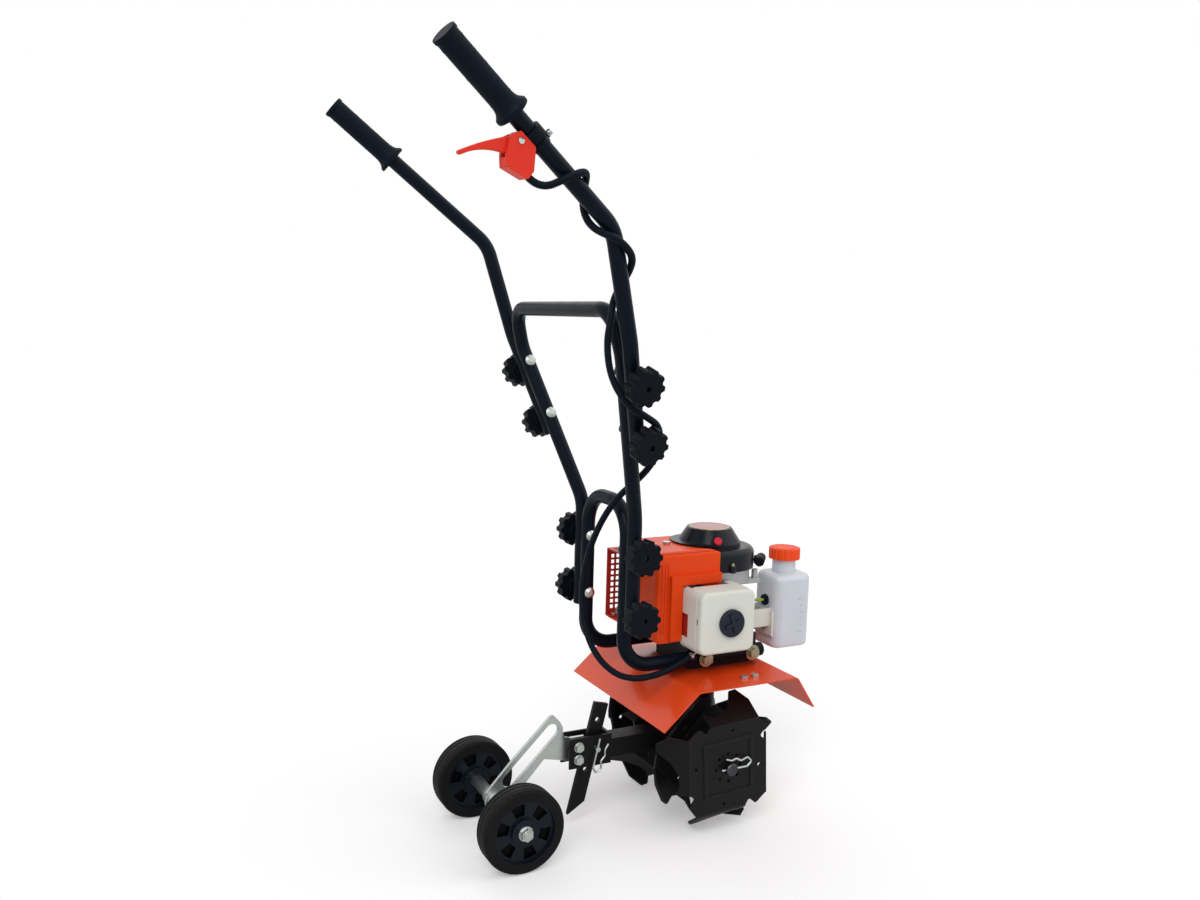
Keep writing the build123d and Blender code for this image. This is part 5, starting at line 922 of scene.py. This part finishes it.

# %% [markdown]
# Two windows in the pale filter box show the orange cowl wall in shade behind them, painted here
# as a dark red bent sheet: an upright plate behind the rear window and a saddle under the top one.

# %% Painted shade behind the filter box windows
def sheet(name, point_at, steps_u, steps_v, thick, finish, body):
    """A thin bent plate; point_at gives its middle surface for u and v from 0 to 1."""
    corners, faces = [], []
    for half in (-0.5, 0.5):
        for i in range(steps_u + 1):
            for j in range(steps_v + 1):
                corners.append(Vector(point_at(i / steps_u, j / steps_v)) + Vector(thick) * half)
    row, layer = steps_v + 1, (steps_u + 1) * (steps_v + 1)
    for i in range(steps_u):
        for j in range(steps_v):
            a, b, c, d = i * row + j, (i + 1) * row + j, (i + 1) * row + j + 1, i * row + j + 1
            faces += [(a, d, c, b), (a + layer, b + layer, c + layer, d + layer)]
    rim = [i * row for i in range(steps_u + 1)] + [steps_u * row + j for j in range(1, row)]
    rim += [i * row + steps_v for i in range(steps_u - 1, -1, -1)]
    rim += list(range(steps_v - 1, 0, -1))
    for a, b in zip(rim, rim[1:] + rim[:1]):
        faces.append((a, b, b + layer, a + layer))
    return piece(name, corners, faces, finish, body, sharp=40)


SADDLE_BEHIND, SADDLE_LENGTH, SADDLE_Y, SADDLE_WIDTH = 0.0555, 0.076, -0.0852, 0.0220
SADDLE_TOP, SADDLE_DIP, SADDLE_THICK = 0.3815, 0.010, 0.0016
UPRIGHT_BEHIND, UPRIGHT_Y, UPRIGHT_WIDTH = 0.0562, -0.0875, 0.0243
UPRIGHT_FOOT, UPRIGHT_HEIGHT, UPRIGHT_THICK = 0.304, 0.046, 0.0020


def saddle(u, v):
    height = SADDLE_TOP - SADDLE_DIP * sin(pi * u) ** 2
    return AXLE_X - SADDLE_BEHIND + SADDLE_LENGTH * u, SADDLE_Y + SADDLE_WIDTH * v, height


def upright(u, v):
    return AXLE_X - UPRIGHT_BEHIND, UPRIGHT_Y + UPRIGHT_WIDTH * v, UPRIGHT_FOOT + UPRIGHT_HEIGHT * u


# Both sheets carry painted shade: dark red for the orange cowl in shade behind the windows.
sheet("window_shade_top", saddle, 24, 3, (0, 0, SADDLE_THICK), window_shade_red, "chassis")
sheet("window_shade_rear", upright, 8, 3, (UPRIGHT_THICK, 0, 0), window_shade_red, "chassis")
print("heat shield in place")

# %% [markdown]
# A rubber grip flares towards its flange, so that a hand slides up to it without an edge. The
# flare is one more turned ring. Rows of small raised pips keep a wet glove from slipping; they
# are low domes in one mesh, staggered from row to row.

# %% Grip flares and pips
GRIP_R, FLARE_AT = 0.0152, 0.098
flare_rings = [
    (0.0, 0.0148), (0.0005, 0.0152), (0.005, 0.0158), (0.009, 0.0168), (0.012, 0.0184), (0.0145, 0.0206),
    (0.0158, 0.0218), (0.0159, 0.0140),
]
PIP_ROWS, PIPS_ROUND, PIP_PITCH, PIP_FIRST = 5, 12, 0.0205, 0.0155
PIP_HALF_LENGTH, PIP_HALF_WIDTH, PIP_SIDES = 0.0026, 0.0011, 12
pip_levels = ((-0.0004, 1.0), (0.0001, 0.88), (0.00025, 0.5))
for side, name in ((-1, "right"), (1, "left")):
    way, end = handle_way(side), on_side(GRIP_END, side)
    flare_foot = end + way * FLARE_AT
    turned(f"grip_flare_{name}", flare_foot, way, flare_rings, soft_rubber, "chassis")
    first = way.orthogonal().normalized()
    corners, faces = [], []
    for row in range(PIP_ROWS):
        for step in range(PIPS_ROUND):
            turn = 2 * pi * (step + row % 2 / 2) / PIPS_ROUND
            out = first * cos(turn) + way.cross(first) * sin(turn)
            seat = end + way * (PIP_FIRST + PIP_PITCH * row) + out * GRIP_R
            pip_faces = ring_faces(len(pip_levels), PIP_SIDES)
            faces += [tuple(index + len(corners) for index in face) for face in pip_faces]
            for lift, share in pip_levels:
                for corner in range(PIP_SIDES):
                    angle = 2 * pi * corner / PIP_SIDES
                    lengthwise = way * cos(angle) * PIP_HALF_LENGTH
                    crosswise = out.cross(way) * sin(angle) * PIP_HALF_WIDTH
                    corners.append(seat + out * lift + (lengthwise + crosswise) * share)
    piece(f"grip_pips_{name}", corners, faces, soft_rubber, "chassis")
print("pips on each grip", PIP_ROWS * PIPS_ROUND)

# %% [markdown]
# The clamp that holds the throttle to the handle is closed by one small screw through its ear.

# %% Throttle clamp screw
EAR_ALONG, EAR_RISE, EAR_HALF, EAR_SCREW_R = 0.169, 0.018, 0.0025, 0.0022
ear = right_end + right_way * EAR_ALONG + up_way * EAR_RISE
cap_screw("clamp_screw", ear + lever_out * EAR_HALF, lever_out, EAR_SCREW_R, "chassis")
print("clamp screw at", [round(value, 4) for value in ear])

# %% [markdown]
# The floor is a large pale sheet. A floor lit by lamps alone goes grey towards the horizon, so
# the light comes from broad suns and the sky, which reach every part of it alike, and the floor
# adds a little white of its own for the camera. The object's soft shadow stays on it.

# %% Floor
FLOOR_WHITE, FLOOR_GLOW = 0.80, 0.24
floor_finish = Finish("floor_pale", roughness=0.9, specular_ior_level=0.0, emission_strength=1.0)
floor_tones = (FLOOR_WHITE,) * 3, (FLOOR_WHITE - 0.01,) * 3
floor_finish.set(base_color=tint(floor_finish, cloud(floor_finish, 3.0), *floor_tones))
seen_floor = floor_finish.node("ShaderNodeLightPath", {}, {}, "Is Camera Ray")
floor_finish.set(emission_color=tint(floor_finish, seen_floor, (0, 0, 0), (FLOOR_GLOW,) * 3))
FLOOR_HALF, FLOOR_DROP = 14, 0.0005
floor_mesh = bpy.data.meshes.new("floor")
square = ((-1, -1), (1, -1), (1, 1), (-1, 1))
floor_corners = [(x * FLOOR_HALF, y * FLOOR_HALF, -FLOOR_DROP) for x, y in square]
floor_mesh.from_pydata(floor_corners, [], [(0, 1, 2, 3)])
floor_mesh.materials.append(floor_finish.material)
floor = bpy.data.objects.new("floor", floor_mesh)
bpy.context.scene.collection.objects.link(floor)
print("floor half width", FLOOR_HALF)

# %% [markdown]
# The sky is white where the camera, a reflection or clear plastic looks at it. As a lamp it is
# only half as strong, and broad suns add the rest, so a colour renders about as it is written.

# %% Sky and suns
SKY = 0.48
world = bpy.data.worlds.new("studio")
bpy.context.scene.world = world
world.use_nodes = True
sky = Network(world.node_tree)
camera_ray, glossy_ray, clear_ray = [
    sky.node("ShaderNodeLightPath", {}, {}, f"Is {ray} Ray")
    for ray in ("Camera", "Glossy", "Transmission")
]
any_ray = camera_ray + glossy_ray + clear_ray
white_share = sky.node("ShaderNodeMath", {"operation": "MINIMUM"}, {0: any_ray, 1: 1.0})
backdrop = world.node_tree.nodes["Background"]
backdrop.inputs["Color"].default_value = (1, 1, 1, 1)
sky.link(backdrop.inputs["Strength"], SKY + (1 - SKY) * white_share)


def sun(name, towards, strength, spread):
    data = bpy.data.lights.new(name, "SUN")
    data.energy = strength
    data.angle = radians(spread)
    holder = bpy.data.objects.new(name, data)
    holder.rotation_euler = Vector(towards).to_track_quat("Z", "Y").to_euler()
    bpy.context.scene.collection.objects.link(holder)


sun("key", (-0.45, -0.60, 0.66), 1.35, 38)
sun("fill", (0.65, -0.35, 0.68), 0.70, 60)
sun("back", (0.15, 0.75, 0.64), 0.45, 60)
print("sky", SKY, "and three suns")

# %% [markdown]
# The camera stands behind and to the right of the machine, at about chest height, and looks
# slightly down. Its place was worked out from lines that appear on both sides of the frame.

# %% Camera
EYE = Vector((AXLE_X - 0.92797, -1.44401, 0.78851))
YAW, PITCH, ROLL = 0.480, -0.120, 0.029
FOCAL_PX, FRAME_PX = 1077.6, 1200
forward = Vector((sin(YAW) * cos(PITCH), cos(YAW) * cos(PITCH), sin(PITCH)))
right = Vector((cos(YAW), -sin(YAW), 0))
upward = right.cross(forward)
tilted_right = right * cos(ROLL) + upward * sin(ROLL)
tilted_up = upward * cos(ROLL) - right * sin(ROLL)
camera_data = bpy.data.cameras.new("view")
camera_data.sensor_width = 36.0
camera_data.lens = FOCAL_PX / FRAME_PX * camera_data.sensor_width
camera = bpy.data.objects.new("view", camera_data)
turn = Matrix((tilted_right, tilted_up, -forward)).transposed()
camera.matrix_world = Matrix.Translation(EYE) @ turn.to_4x4()
bpy.context.scene.collection.objects.link(camera)
bpy.context.scene.camera = camera
bpy.context.scene.view_settings.view_transform = "Standard"
print("camera lens", round(camera_data.lens, 2))
